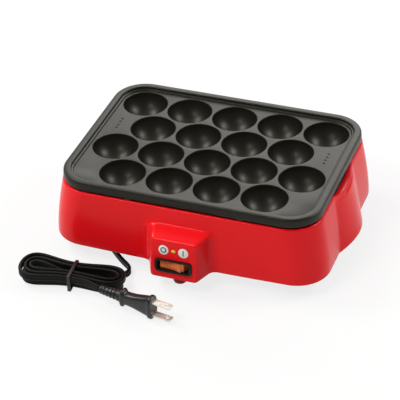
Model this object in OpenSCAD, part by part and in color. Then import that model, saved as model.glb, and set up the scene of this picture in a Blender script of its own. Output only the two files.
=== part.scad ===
// Countertop maker for small round dumplings: a cast plate of eighteen wells
// lifts off a red moulded body that holds the heater, the switch and the cord.
// Millimetres. X runs along the long side, the switch faces -Y, the feet stand on z = 0.

/* [Wells] */
// Diameter of a well at its mouth
well_d = 40; // [34:0.5:42]
// Depth of a well below the plate's top
well_depth = 18; // [14:0.5:19]
// Distance between the centres of neighbouring wells
well_pitch = 42.6; // [42.2:0.2:43.4]
// Thickness of the cast wall round a well
well_wall = 2; // [1.6:0.1:2.4]

/* [Plate] */
// Width left outside the end wells, rim included
end_land = 10.8; // [10:0.1:14]
// Width left outside the first and the last row of wells, rim included
side_land = 10.661; // [10:0.001:14]
// Outer corner radius of the plate
plate_r = 29; // [26:1:32]
// Height of the rim's outer side
rim_h = 8.1; // [7:0.1:10]
// Width of the rim's flat top
rim_w = 7; // [6:0.2:7.6]
// Height of the rim above the floor round the wells
rim_rise = 3.5; // [2.5:0.1:4.5]
// Width of the step inside the rim
step_w = 2; // [1:0.2:3]
// Height of the step inside the rim
step_h = 1.3; // [0.8:0.1:2]
// Thickness of the plate's floor
floor_t = 4.2; // [3.6:0.1:4.8]
// Gap between the body's shoulder and the rim, taken up by the plate rests
rest_h = 1.8; // [1.2:0.1:2.6]

/* [Body] */
// How much further out the body's ends stand at the lower edge than at the shoulder
end_spread = 7.2; // [6:0.2:10]
// How much further out its long sides stand at the lower edge
side_spread = 2.4; // [1.6:0.2:5]
// How much the long sides bow outwards at the lower edge
bow = 1.4; // [0:0.2:2]
// Height of the body's wall, lower edge to shoulder
body_h = 54; // [50:1:62]
// Corner radius at the lower edge
body_r = 30; // [28:1:34]
// Thickness of the moulded wall
wall = 2.5; // [2:0.1:3]
// Height of the lower edge above the table
body_lift = 15; // [13:0.5:18]
// How far the shoulder stands out from the plate's edge
shoulder_out = 0.4; // [0:0.1:1]
// Width of the ledge inside the wall that carries the heat tray
ledge_w = 2.2; // [1.6:0.1:3]

/* [Side grips] */
// Length of a side grip along the body
grip_w = 64; // [50:2:72]
// How far a grip stands out at its lower edge
grip_out = 9.4; // [6:0.2:12]
// How far a grip still stands out under the shoulder
grip_top_out = 3.6; // [2:0.2:5]
// Depth of the finger notch in the shoulder over a grip
notch_depth = 6; // [4:0.5:8]
// How much the grip's lower edge rises in its middle
grip_rise = 3.4; // [1:0.2:5]

/* [Switch box] */
// Width of the box at its front
box_w = 42; // [38:1:48]
// How far the front of the box stands out at its lower edge
box_out = 18.3; // [16:0.1:21]
// Height of the box at its front
box_h = 37; // [34:0.5:40]
// How far the front leans back from bottom to top
box_lean = 4; // [2:0.5:6]
// How far the box hangs below the body's edge
box_drop = 1.4; // [0.8:0.2:2]
// How much wider each side of the box is at the body
box_flare = 7.5; // [5:0.5:9]

/* [Rocker switch] */
// Width of the switch bezel
bezel_w = 33; // [30:0.5:36]
// Height of the switch bezel
bezel_h = 12.4; // [11:0.2:14]
// Length of the rocker
rocker_w = 25; // [22:0.5:27]
// Height of the rocker
rocker_h = 7.8; // [7:0.2:9]
// Tilt of the rocker each side of its middle
rocker_tilt = 11; // [8:0.5:13]
// Radius of the rocker's trunnions
trunnion_r = 1.2; // [1:0.1:1.5]
// Running clearance round the trunnions
trunnion_gap = 0.05; // [0.03:0.01:0.08]
// Distance from the box's lower edge up to the switch's middle
switch_up = 12.6; // [11:0.2:14]
// Distance from the box's lower edge up to the marks and the lens
marks_up = 27.2; // [24:0.2:30]

/* [Marks and lens] */
// Diameter of the two mark discs
disc_d = 8.8; // [7:0.2:10]
// Distance between the mark discs
disc_gap = 17.6; // [16:0.2:20]
// Width of the lamp lens
lens_w = 4.2; // [3.4:0.2:5]
// Height of the lamp lens
lens_h = 2.8; // [2.2:0.2:3.4]

/* [Heater] */
// Diameter of the sheathed element
element_d = 6.6; // [6:0.1:8]
// Distance between the element's long runs
element_gap = 60; // [54:1:66]
// Distance from the tray's end wall to the element's axis
element_room = 11.2; // [6:0.1:16]
// Height of the element's axis above the tray's floor
element_up = 11; // [9:0.5:13]
// Distance between the element's two ends
ends_gap = 24; // [22:1:30]
// Depth of the heat tray
tray_h = 33; // [30:1:34]
// Thickness of the tray's sheet
sheet = 0.8; // [0.6:0.1:1]

/* [Base] */
// Thickness of the base cover
base_t = 2.5; // [2:0.1:3]
// How far the base cover lies above the body's edge
base_inset = 1.2; // [1:0.1:1.5]
// Radius of a leg
leg_r = 6.2; // [5.5:0.1:7.5]
// Radius of a rubber foot pad
pad_r = 3.8; // [3:0.1:4.4]
// Distance from the body's end to the middle of a leg
leg_in_x = 19.6; // [17.6:0.2:28]
// Distance from the body's long side to the middle of a leg
leg_in_y = 30.8; // [28.8:0.2:38]
// Radius of a screw's shank
screw_r = 1.5; // [1.2:0.1:1.8]

/* [Cord and plug] */
// Width of the flat twin cord
cord_h = 6.6; // [6:0.1:7]
// Thickness of the flat twin cord
cord_t = 3; // [2.8:0.1:3.1]
// Step from one loop of the hank to the next
hank_step = 4; // [3.95:0.05:4.2]
// Half length of the hank's outer loop
hank_half = 46; // [42:0.5:52]
// Distance between the plug's blades
blade_gap = 12.7; // [12.4:0.1:13]
// Length of a blade
blade_l = 17.5; // [16:0.5:18]
// Width of a blade
blade_w = 6.35; // [6.2:0.05:6.5]
// Thickness of a blade
blade_t = 1.5; // [1.4:0.05:1.6]

/* [Hidden] */

red = "#c4161c";
dark_red = "#8e1016";
seat_gap = 0.1;
shadow_gap = 0.3;
round_fn = 48;

// Heights above the table
edge_z = body_lift;
shoulder_z = edge_z + body_h;
rim_z = shoulder_z + rest_h;
plate_top_z = rim_z + rim_h;
floor_z = plate_top_z - rim_rise;
ledge_z = shoulder_z - notch_depth - 0.6;
tray_floor_z = shoulder_z - tray_h;
element_z = tray_floor_z + sheet + element_up;
base_z = edge_z + base_inset;

// A well is a spherical cap
well_r = (pow(well_d / 2, 2) + pow(well_depth, 2)) / (2 * well_depth);
well_center_z = floor_z - well_depth + well_r;
row_pitch = well_pitch * sin(60);
row_counts = [4, 5, 4, 5];
well_places = [for (row = [0:3], i = [0:row_counts[row] - 1])
    [(i - (row_counts[row] - 1) / 2) * well_pitch, (row - 1.5) * row_pitch]];

plate_w = 4 * well_pitch + well_d + 2 * end_land;
plate_d = 3 * row_pitch + well_d + 2 * side_land;
top_w = plate_w + 2 * shoulder_out;
top_d = plate_d + 2 * shoulder_out;
body_w = top_w + 2 * end_spread;
body_d = top_d + 2 * side_spread;

// The switch box leans back; panel() puts its children on the front face
box_bottom_z = edge_z - box_drop;
lean = atan(box_lean / box_h);
front_y = -body_d / 2 - bow - box_out;
rocker_pivot_in = 5.2;
rocker_mid_out = 4.6;
rocker_v = 7;
rocker_end_out = rocker_mid_out + rocker_w / 2 * tan(rocker_v);
rocker_lift = rocker_w / 2 * sin(rocker_tilt) + rocker_end_out * cos(rocker_tilt) - rocker_pivot_in;
rocker_front_y = front_y + (switch_up - rocker_h / 2) * sin(lean) - rocker_lift * cos(lean);

// The origin lies under the middle of the object's box, so the grid of wells sits back from it
front_reach = min(front_y, rocker_front_y);
mid_y = -(front_reach + body_d / 2 + bow) / 2;

module seated() translate([0, mid_y, 0]) children();
module panel(up) seated() translate([0, front_y, box_bottom_z]) rotate([-lean, 0, 0])
    translate([0, 0, up]) children();

module rounded(w, d, r, fn = round_fn) {
    x = w / 2 - r;
    y = d / 2 - r;
    union() {
        square([w, 2 * y], center = true);
        square([2 * x, d], center = true);
        for (i = [-1, 1], j = [-1, 1]) translate([i * x, j * y]) circle(r, $fn = fn);
    }
}
module slab(w, d, r, h) linear_extrude(h) rounded(w, d, r);

// ---- Lofted skin of the body ----
function ease(t, a, b) = let (u = max(0, min(1, (t - a) / (b - a)))) u * u * (3 - 2 * u);
function up_share(z) = max(0, min(1, (z - edge_z) / body_h));
function flare(z) = pow(up_share(z), 1.6);
function skin_w(z) = body_w + (top_w - body_w) * flare(z);
function skin_d(z) = body_d + (top_d - body_d) * flare(z);
function skin_r(z) = body_r + (plate_r - body_r) * flare(z);

// Share of the switch box's depth at a place along the front
box_half = box_w / 2;
box_foot = box_half + box_flare;
function box_share(x) = lookup(abs(x), [[0, 1], [box_half - 3, 1], [box_half - 1, 0.975],
    [box_half + 0.3, 0.9], [box_foot - 1.2, 0.17], [box_foot + 1, 0.06], [box_foot + 5, 0]]);
box_top_z = box_bottom_z + box_h;
box_rise = 3.4;
function box_depth(z) = box_out - box_lean * (z - box_bottom_z) / box_h
    + (body_d - skin_d(z)) / 2 + bow * up_share(z);
function box_level(z) = lookup(z, [[box_bottom_z, 1], [box_top_z - 2, 1], [box_top_z - 0.5, 0.93],
    [box_top_z + 0.6, 0.8], [box_top_z + box_rise, 0.06], [box_top_z + box_rise + 2.4, 0]]);

// Share of a side grip at a place along the short side
function grip_share(y, z) = let (half = grip_w / 2 - 5 * up_share(z), t = y / half) max(0, 1 - t * t);
function grip_depth(z) = grip_top_out + (grip_out - grip_top_out) * pow(1 - up_share(z), 1.2);
function notch_share(y) = let (t = y / (grip_w / 2 - 5)) pow(max(0, 1 - t * t), 0.8);

front_x = [0, 9, box_half - 3, box_half - 1, box_half + 0.3, box_foot - 1.2, box_foot + 1, box_foot + 5, 60];
side_y = [0, 7, 14, 20, 25, 29, 32];
corner_steps = 6;

// One quarter of the outline, front middle to right middle, as [kind, place]
quarter = concat(
    [for (x = front_x) [0, x]],
    [for (i = [0:corner_steps]) [1, i * 90 / corner_steps]],
    [for (i = [len(side_y) - 1:-1:0]) [2, side_y[i]]]);
function quarter_point(q, w, d, r, b) =
    q[0] == 0 ? let (x = min(q[1], w / 2 - r - 0.5), t = x / (w / 2 - r)) [x, -d / 2 - b * (1 - t * t)]
    : q[0] == 1 ? [w / 2 - r + r * sin(q[1]), -d / 2 + r - r * cos(q[1])]
    : [w / 2, -min(q[1], d / 2 - r - 0.5)];
quarter_n = len(quarter);
outline_n = 4 * (quarter_n - 1);
// Index round the whole outline: the quarter is mirrored into the other three
function outline_point(i, w, d, r, b = 0) =
    let (m = quarter_n - 1, k = floor(i / m), j = i % m,
         q = k % 2 == 0 ? quarter[j] : quarter[m - j],
         p = quarter_point(q, w, d, r, b))
    k == 0 ? p : k == 1 ? [p[0], -p[1]] : k == 2 ? [-p[0], -p[1]] : [-p[0], p[1]];

// A point of the skin: the plain outline moved out by the box and the grips,
// or in by a wall's thickness. level is a height; the edge and shoulder follow notches.
function skin_point(i, level, inset) =
    let (w = skin_w(level) - 2 * inset, d = skin_d(level) - 2 * inset,
         r = max(skin_r(level) - inset, 3), p = outline_point(i, w, d, r, bow * (1 - up_share(level))),
         front = p[1] < -d / 2 + 0.01 ? 1 : 0,
         side = abs(p[0]) > w / 2 - 0.01 ? 1 : 0,
         box = front * box_share(p[0] * (box_half + inset) / box_half) * box_level(level + inset),
         grip = side * grip_share(p[1], level) * grip_depth(level),
         drop = level < edge_z + 0.01 ? -box_drop * box + grip_rise * side * grip_share(p[1], level) : 0,
         dip = level > shoulder_z - 9 ? -notch_depth * side * notch_share(p[1])
             * ease(level, shoulder_z - 9, shoulder_z - 1) : 0)
    [p[0] + sign(p[0]) * grip, p[1] - box * box_depth(level), level + drop + dip];

outer_levels = [edge_z, edge_z + 10, edge_z + 20, edge_z + 28, box_top_z - 2, box_top_z - 0.5,
                box_top_z + 0.6, box_top_z + box_rise, box_top_z + box_rise + 2.4,
                shoulder_z - 9, shoulder_z - 5, shoulder_z - 2, shoulder_z - 0.6];
inner_levels = [ledge_z - 5, box_top_z + box_rise, box_top_z - 0.5, box_top_z - 3, edge_z + 20, edge_z];
ledge_t = 2.4;
function ring(level, inset) = [for (i = [0:outline_n - 1]) skin_point(i, level, inset)];
// The shoulder's top and the ledge inside it
function flat_ring(z, inset, dip) = [for (i = [0:outline_n - 1])
    let (p = outline_point(i, top_w - 2 * inset, top_d - 2 * inset, plate_r - inset),
         side = abs(p[0]) > top_w / 2 - inset - 0.01 ? 1 : 0)
    [p[0], p[1], z - dip * side * notch_share(p[1])]];
skin_rings = concat(
    [for (z = outer_levels) ring(z, 0)],
    [[for (i = [0:outline_n - 1])
        let (p = skin_point(i, shoulder_z - 0.6, 0.6)) [p[0], p[1], p[2] + 0.6]]],
    [flat_ring(shoulder_z, wall, notch_depth)],
    [flat_ring(ledge_z, wall, 0)],
    [flat_ring(ledge_z, wall + ledge_w, 0)],
    [flat_ring(ledge_z - ledge_t, wall + ledge_w, 0)],
    [for (z = inner_levels) ring(z, wall)]);

// Closed skin through rings that all have the same number of points
module loft(rings, closed_loop) {
    n = len(rings[0]);
    m = len(rings);
    last = closed_loop ? m - 1 : m - 2;
    points = [for (r = rings, p = r) p];
    sides = [for (j = [0:last], i = [0:n - 1], t = [0, 1])
        let (a = j * n + i, b = j * n + (i + 1) % n,
             c = ((j + 1) % m) * n + i, e = ((j + 1) % m) * n + (i + 1) % n)
        t == 0 ? [a, b, e] : [a, e, c]];
    caps = closed_loop ? [] : concat(
        [for (i = [1:n - 2]) [0, i + 1, i]],
        [for (i = [1:n - 2]) [(m - 1) * n, (m - 1) * n + i, (m - 1) * n + i + 1]]);
    polyhedron(points, [for (f = concat(sides, caps)) [f[0], f[2], f[1]]], convexity = 10);
}

// ---- Sweeps ----
function unit(v) = v / norm(v);
// Rings of a section carried along a path; the section's second axis stays as upright as it can
function sweep_rings(path, section) = [for (i = [0:len(path) - 1])
    let (before = unit(path[max(i, 1)] - path[max(i, 1) - 1]),
         after = unit(path[min(i + 1, len(path) - 1)] - path[min(i + 1, len(path) - 1) - 1]),
         t = unit(before + after), s = unit(cross(t, [0, 0, 1])), v = cross(s, t),
         spread = 1 / max(0.8, sqrt((1 + before * after) / 2)))
    [for (c = section) path[i] + s * c[0] * spread + v * c[1]]];
module sweep(path, section) loft(sweep_rings(path, section), false);
function round_section(r, n) = [for (k = [0:n - 1]) r * [sin(k * 360 / n), cos(k * 360 / n)]];
// Puts +Z along a heading and a pitch, with local X pointing down
module along(p, heading, pitch) translate(p) rotate([0, 90 - pitch, heading]) children();

// ---- Plate ----
module griddle_plate() color("#3b3a37") seated() difference() {
    union() {
        translate([0, 0, rim_z]) slab(plate_w, plate_d, plate_r, rim_h);
        for (p = well_places) intersection() {
            translate([p[0], p[1], well_center_z]) sphere(well_r + well_wall, $fn = round_fn);
            translate([p[0], p[1], floor_z - floor_t / 2 - 2 * well_depth]) cylinder(h = 2 * well_depth, r = 2 * well_r, $fn = round_fn);
        }
    }
    translate([0, 0, plate_top_z - rim_rise + step_h])
        slab(plate_w - 2 * rim_w, plate_d - 2 * rim_w, plate_r - rim_w, rim_rise);
    translate([0, 0, floor_z])
        slab(plate_w - 2 * (rim_w + step_w), plate_d - 2 * (rim_w + step_w), plate_r - rim_w - step_w, rim_rise);
    for (p = well_places) translate([p[0], p[1], well_center_z]) sphere(well_r, $fn = round_fn);
}

// ---- Body ----
boss_r = 4;
hole_r = screw_r + 0.05;
head_r = screw_r + 1.3;
head_t = 1.6;
boss_low_z = base_z + base_t;
boss_top_z = tray_floor_z;
well_reach = sqrt(pow(well_r + well_wall, 2) - pow(well_center_z - ledge_z - sheet, 2));
tray_x = 2 * well_pitch + well_reach + 1.1;
tray_y = 1.5 * row_pitch + well_reach + 1.1;
boss_x = tray_x - 5.2;
boss_y = 34;
boss_places = [for (i = [-1, 1], j = [-1, 1]) [i * boss_x, j * boss_y]];
window_w = bezel_w - 3.4;
window_h = bezel_h - 1.6;
lens_stem_r = lens_h / 2 - 0.1;

module body_shell() color(red) difference() {
    union() {
        seated() loft(skin_rings, true);
        for (p = boss_places) seated() boss(p);
    }
    for (p = boss_places) seated() translate([p[0], p[1], boss_low_z - 1])
        cylinder(h = boss_top_z - boss_low_z + 2, r = hole_r, $fn = 24);
    panel(switch_up) cube([window_w, 4 * wall, window_h], center = true);
    panel(marks_up) rotate([90, 0, 0]) cylinder(h = 4 * wall, r = lens_stem_r + 0.05, $fn = 24, center = true);
}
// A screw column on a web that runs to the side wall
module boss(p) {
    height = boss_top_z - boss_low_z;
    web = skin_w(boss_top_z) / 2 - 0.6 - boss_x;
    translate([p[0], p[1], boss_low_z]) {
        cylinder(h = height, r = boss_r, $fn = 32);
        translate([sign(p[0]) * web / 2, 0, height / 2]) cube([web, 2, height], center = true);
    }
}

// ---- Base ----
leg_places = concat([for (i = [-1, 1], j = [-1, 1]) [i * (body_w / 2 - leg_in_x), j * (body_d / 2 - leg_in_y)]], [[0, front_y + 16.5]]);
pad_h = 2.2;
outlet_face = [33.4 - body_w / 2, 34.4 - body_d / 2, 8];
outlet_heading = -40.8;
outlet_pitch = -7.2;
outlet_low_z = 2.6;
outlet_l = 13;
stub_r = 4.2;
stub_l = 4;
shaft_r = 3.8;
outlet_dir = [cos(outlet_heading), sin(outlet_heading)];
shaft_place = [outlet_face[0] - 8 * outlet_dir[0], outlet_face[1] - 8 * outlet_dir[1]];
clamp_place = [43.6 - body_w / 2, 42.8 - body_d / 2];
clamp_turn = -8;
clamp_l = 24;
clamp_hole_r = 1.3;

module base_cover() color(dark_red) seated() difference() {
    union() {
        translate([0, 0, base_z]) linear_extrude(base_t) polygon([for (i = [0:outline_n - 1])
            let (p = skin_point(i, base_z + base_t, wall + shadow_gap)) [p[0], p[1]]]);
        for (p = leg_places) translate([p[0], p[1], 0]) rotate_extrude($fn = 40)
            polygon([[0, 0.5], [leg_r - 2, 0.5], [leg_r - 0.7, 1.1], [leg_r - 0.2, 2.4], [leg_r, 4],
                     [leg_r + 0.6, base_z + 0.1], [0, base_z + 0.1]]);
        along(outlet_face, outlet_heading, 0) translate([outlet_face[2] - base_z - 0.1, -6.5, -outlet_l])
            cube([base_z + 0.1 - outlet_low_z, 13, outlet_l + 1]);
    }
    for (p = leg_places) translate([p[0], p[1], -1]) cylinder(h = pad_h + 1, r = pad_r + 0.05, $fn = 32);
    for (p = boss_places) translate([p[0], p[1], base_z - 1]) cylinder(h = base_t + 2, r = hole_r, $fn = 24);
    along(outlet_face, outlet_heading, outlet_pitch) {
        translate([0, 0, -8]) cylinder(h = 10, r = stub_r + 0.05, $fn = 32);
        translate([base_z - 3 - outlet_face[2] - 20, -8, 0]) cube([30, 16, 4]);
    }
    translate([shaft_place[0], shaft_place[1], 5]) cylinder(h = base_z + base_t, r = shaft_r, $fn = 32);
    for (x = [-60:10:60]) translate([x - 1.6, -14, base_z - 1]) cube([3.2, 60, base_t + 2]);
    on_clamp() for (i = [-1, 1]) translate([0, i * (clamp_l / 2 - 3.5), -base_t - 1])
        cylinder(h = base_t + 2, r = clamp_hole_r, $fn = 24);
}
module foot_pads() color("#2b2724") seated() for (p = leg_places)
    translate([p[0], p[1], 0]) cylinder(h = pad_h, r = pad_r, $fn = 32);
module base_screws() color("silver") seated() for (p = boss_places) translate([p[0], p[1], base_z - head_t]) {
    cylinder(h = head_t, r = head_r, $fn = 24);
    cylinder(h = 10, r = screw_r, $fn = 24);
}

// ---- Heater ----
element_w = 2 * (tray_x - element_room);
tray_r = 18;
flange_top_z = ledge_z + sheet;
bush_r = element_d / 2 + 1.9;
bush_flange_r = bush_r + 1.3;
turn_r = 14;
ends_y = tray_y + sheet + 5.5;
thermostat_place = [20, -8];
thermostat_r = 7;
thermostat_h = 6;
strap_w = 8;
strap_y = 9.5;
strap_hole_y = 14;
strap_hole_r = 1.35;
tab_h = 6.2;
fuse_place = [50, -8];
fuse_r = 3;
fuse_l = 22;

module heat_tray() color("#b9bbb8") seated() difference() {
    union() {
        translate([0, 0, tray_floor_z]) slab(2 * (tray_x + sheet), 2 * (tray_y + sheet), tray_r + sheet, flange_top_z - tray_floor_z);
        translate([0, 0, ledge_z]) slab(top_w - 2 * wall - 2 * shadow_gap, top_d - 2 * wall - 2 * shadow_gap, plate_r - wall - shadow_gap, sheet);
    }
    translate([0, 0, tray_floor_z + sheet]) slab(2 * tray_x, 2 * tray_y, tray_r, 2 * tray_h);
    for (i = [-1, 1]) translate([i * ends_gap / 2, -tray_y, element_z]) rotate([90, 0, 0])
        cylinder(h = 4 * sheet, r = bush_r + 0.05, $fn = 32, center = true);
    for (p = boss_places) translate([p[0], p[1], tray_floor_z - 1]) cylinder(h = sheet + 2, r = hole_r, $fn = 24);
    for (i = [-1, 1]) translate([thermostat_place[0], thermostat_place[1] + i * strap_hole_y, tray_floor_z - 1])
        cylinder(h = sheet + 2, r = strap_hole_r, $fn = 24);
}
module tray_screws() color("silver") seated() for (p = boss_places) translate([p[0], p[1], tray_floor_z + sheet]) {
    cylinder(h = head_t, r = head_r, $fn = 24);
    translate([0, 0, -8]) cylinder(h = 8.1, r = screw_r, $fn = 24);
}
rest_r = 2.6;
rest_places = concat([for (i = [-1, 1], j = [-1, 1]) [i * (plate_w / 2 - 6), j * 45]],
                     [for (i = [-1, 1], j = [-1, 1]) [i * 50, j * (plate_d / 2 - 5.7)]]);
module plate_rests() color("#d9d6cd") seated() for (p = rest_places)
    translate([p[0], p[1], flange_top_z]) cylinder(h = rim_z - flange_top_z, r = rest_r, $fn = 32);

// A closed run of tube: two round ends, a back run and a front run whose ends turn forward
arc_x = element_w / 2 - element_gap / 2;
module run(from, to) {
    d = to - from;
    translate([from[0], from[1], element_z]) rotate([0, 90, atan2(d[1], d[0])])
        cylinder(h = norm(d), r = element_d / 2, $fn = 32);
}
module bend(center, r, from, span) translate([center[0], center[1], element_z]) rotate([0, 0, from])
    rotate_extrude(angle = span, $fn = 64) translate([r, 0]) circle(element_d / 2, $fn = 32);
module heating_element() color("#7d7f80") seated() {
    y = element_gap / 2;
    run([-arc_x, y], [arc_x, y]);
    bend([arc_x, 0], y, -90, 180);
    bend([-arc_x, 0], y, 90, 180);
    for (i = [-1, 1]) {
        run([i * arc_x, -y], [i * (ends_gap / 2 + turn_r), -y]);
        bend([i * (ends_gap / 2 + turn_r), -y - turn_r], turn_r, i > 0 ? 90 : 0, 90);
        run([i * ends_gap / 2, -y - turn_r], [i * ends_gap / 2, -ends_y]);
    }
}
module element_bushes() color("#e8e4d8") seated() for (i = [-1, 1])
    translate([i * ends_gap / 2, -tray_y, element_z]) rotate([90, 0, 0]) difference() {
        union() {
            translate([0, 0, -2]) cylinder(h = 2, r = bush_flange_r, $fn = 32);
            cylinder(h = sheet + 3, r = bush_r, $fn = 32);
        }
        translate([0, 0, -3]) cylinder(h = 10, r = element_d / 2 + 0.05, $fn = 32);
    }
module element_tabs() color("#c9cbc8") seated() for (i = [-1, 1])
    translate([i * ends_gap / 2, -ends_y, element_z]) {
        rotate([90, 0, 0]) cylinder(h = 1, r = 1.4, $fn = 24);
        translate([-0.4, -5, -tab_h / 2]) cube([0.8, 4.1, tab_h]);
    }
module clip(p, turn) translate([p[0], p[1], tray_floor_z + sheet]) rotate([0, 0, turn]) difference() {
    union() {
        translate([-0.5, -5.5, 0]) cube([1, 11, element_up + element_d / 2 + 1.6]);
        translate([-0.5, -5.5, 0]) cube([8, 11, 0.9]);
    }
    translate([-1, 0, element_up]) rotate([0, 90, 0]) cylinder(h = 3, r = element_d / 2 + 0.05, $fn = 32);
}
module element_clips() color("#a9aba8") seated() {
    clip([0, element_gap / 2], 0);
    clip([element_w / 2 - element_gap / 2 + element_gap / 2, 0], 90);
    clip([-element_w / 2, 0], 90);
}
module thermostat() color("#3a3530") seated() translate([thermostat_place[0], thermostat_place[1], tray_floor_z - thermostat_h])
    cylinder(h = thermostat_h, r = thermostat_r, $fn = 40);
module thermostat_bracket() color("#b4b6b3") seated() translate([thermostat_place[0], thermostat_place[1], tray_floor_z]) difference() {
    union() {
        translate([-strap_w / 2, -strap_y, -thermostat_h - seat_gap - sheet]) cube([strap_w, 2 * strap_y, sheet]);
        for (i = [-1, 1]) translate([-strap_w / 2, i * strap_y - sheet / 2, -thermostat_h - seat_gap - sheet])
            cube([strap_w, sheet, thermostat_h + seat_gap + sheet]);
        for (i = [-1, 1]) translate([-strap_w / 2, i * (strap_y + 4) - 4, -sheet]) cube([strap_w, 8, sheet]);
    }
    for (i = [-1, 1]) translate([0, i * strap_hole_y, -2]) cylinder(h = 3, r = strap_hole_r, $fn = 24);
}
module bracket_screws() color("silver") seated() for (i = [-1, 1])
    translate([thermostat_place[0], thermostat_place[1] + i * strap_hole_y, tray_floor_z - sheet]) {
        translate([0, 0, -1.5]) cylinder(h = 1.5, r = 2.3, $fn = 24);
        translate([0, 0, -0.1]) cylinder(h = 2 * sheet + 1, r = strap_hole_r - 0.05, $fn = 24);
    }
module thermal_fuse() color("#c8b48a") seated()
    translate([fuse_place[0], fuse_place[1], tray_floor_z - seat_gap - fuse_r]) rotate([0, 90, 0])
        cylinder(h = fuse_l, r = fuse_r, $fn = 32, center = true);
module fuse_clip() color("#b4b6b3") seated() translate([fuse_place[0], fuse_place[1], tray_floor_z]) {
    low = -2 * seat_gap - 2 * fuse_r - sheet;
    translate([-4, -fuse_r - seat_gap - sheet, low]) cube([8, 2 * (fuse_r + seat_gap + sheet), sheet]);
    for (i = [-1, 1]) translate([-4, i * (fuse_r + seat_gap + sheet / 2) - sheet / 2, low]) cube([8, sheet, -low]);
}

// ---- Switch ----
bezel_t = 1.6;
cavity_w = 27.6;
cavity_h = rocker_h + 0.6;
housing_d = 16;
lever_in = 6.2;
lever_pin_r = 0.8;
lever_ratio = 0.7;
floor_in = 9;
tab_x = 8;

module switch_body() color("#1c1a19") panel(switch_up) difference() {
    union() {
        translate([0, -bezel_t / 2, 0]) cube([bezel_w, bezel_t, bezel_h], center = true);
        translate([0, housing_d / 2 - 0.05, 0]) cube([window_w - 0.2, housing_d + 0.1, window_h - 0.2], center = true);
    }
    translate([-cavity_w / 2, -bezel_t - 1, -cavity_h / 2]) cube([cavity_w, bezel_t + 1 + rocker_pivot_in + floor_in, cavity_h]);
    translate([0, rocker_pivot_in, 0]) cylinder(h = 2 * bezel_h, r = trunnion_r + trunnion_gap, $fn = 32, center = true);
    translate([0, rocker_pivot_in + lever_in, 0]) cylinder(h = 2 * bezel_h, r = lever_pin_r + 0.05, $fn = 32, center = true);
    for (i = [-1:1]) translate([i * tab_x, housing_d, 0]) cube([0.9, 8, 4.9], center = true);
}
module rocker() color("#c85028") panel(switch_up) translate([0, rocker_pivot_in, 0]) rotate([0, 0, -rocker_tilt]) {
    half = rocker_w / 2;
    translate([0, 0, -rocker_h / 2]) linear_extrude(rocker_h) polygon([[0, -rocker_mid_out],
        [half, -rocker_end_out], [half - 0.8, 1.5], [1.5, 2.4], [1.5, 4.5],
        [-1.5, 4.5], [-1.5, 2.4], [-half + 0.8, 1.5], [-half, -rocker_end_out]]);
    cylinder(h = window_h - 0.6, r = trunnion_r, $fn = 32, center = true);
}
module contact_lever() color("#b87333") panel(switch_up) translate([0, rocker_pivot_in + lever_in, 0])
    rotate([0, 0, lever_ratio * rocker_tilt]) {
        cube([16, 0.8, 5], center = true);
        cylinder(h = window_h - 0.6, r = lever_pin_r, $fn = 32, center = true);
    }
module switch_terminals() color("#c9cbc8") panel(switch_up) for (i = [-1:1])
    translate([i * tab_x - 0.4, rocker_pivot_in + (i == 0 ? lever_in + 1.2 : 8.2), -2.4])
        cube([0.8, 24 - rocker_pivot_in - (i == 0 ? lever_in + 1.2 : 8.2), 4.8]);
module mark_discs() color("#d8dcd8") panel(marks_up) for (i = [-1, 1])
    translate([i * disc_gap / 2, 0, 0]) rotate([90, 0, 0]) cylinder(h = 0.4, r = disc_d / 2, $fn = round_fn);
module mark_signs() color("#1c1c1c") panel(marks_up) {
    translate([-disc_gap / 2, -0.4, 0]) rotate([90, 0, 0]) difference() {
        cylinder(h = 0.25, r = disc_d * 0.3, $fn = 32);
        translate([0, 0, -1]) cylinder(h = 3, r = disc_d * 0.21, $fn = 32);
    }
    translate([disc_gap / 2 - 0.4, -0.65, -disc_d * 0.3]) cube([0.8, 0.25, disc_d * 0.6]);
}
module indicator_lens() color("#e0c020") panel(marks_up) {
    translate([-lens_w / 2, -0.6, -lens_h / 2]) cube([lens_w, 0.6, lens_h]);
    rotate([90, 0, 0]) translate([0, 0, -wall - 1]) cylinder(h = wall + 1.1, r = lens_stem_r, $fn = 24);
}
lamp_r = 1.9;
lamp_l = 7;
module indicator_lamp() color("#f0b070") panel(marks_up) rotate([90, 0, 0])
    translate([0, 0, -wall - 1 - seat_gap - lamp_l]) cylinder(h = lamp_l, r = lamp_r, $fn = 24);

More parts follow.
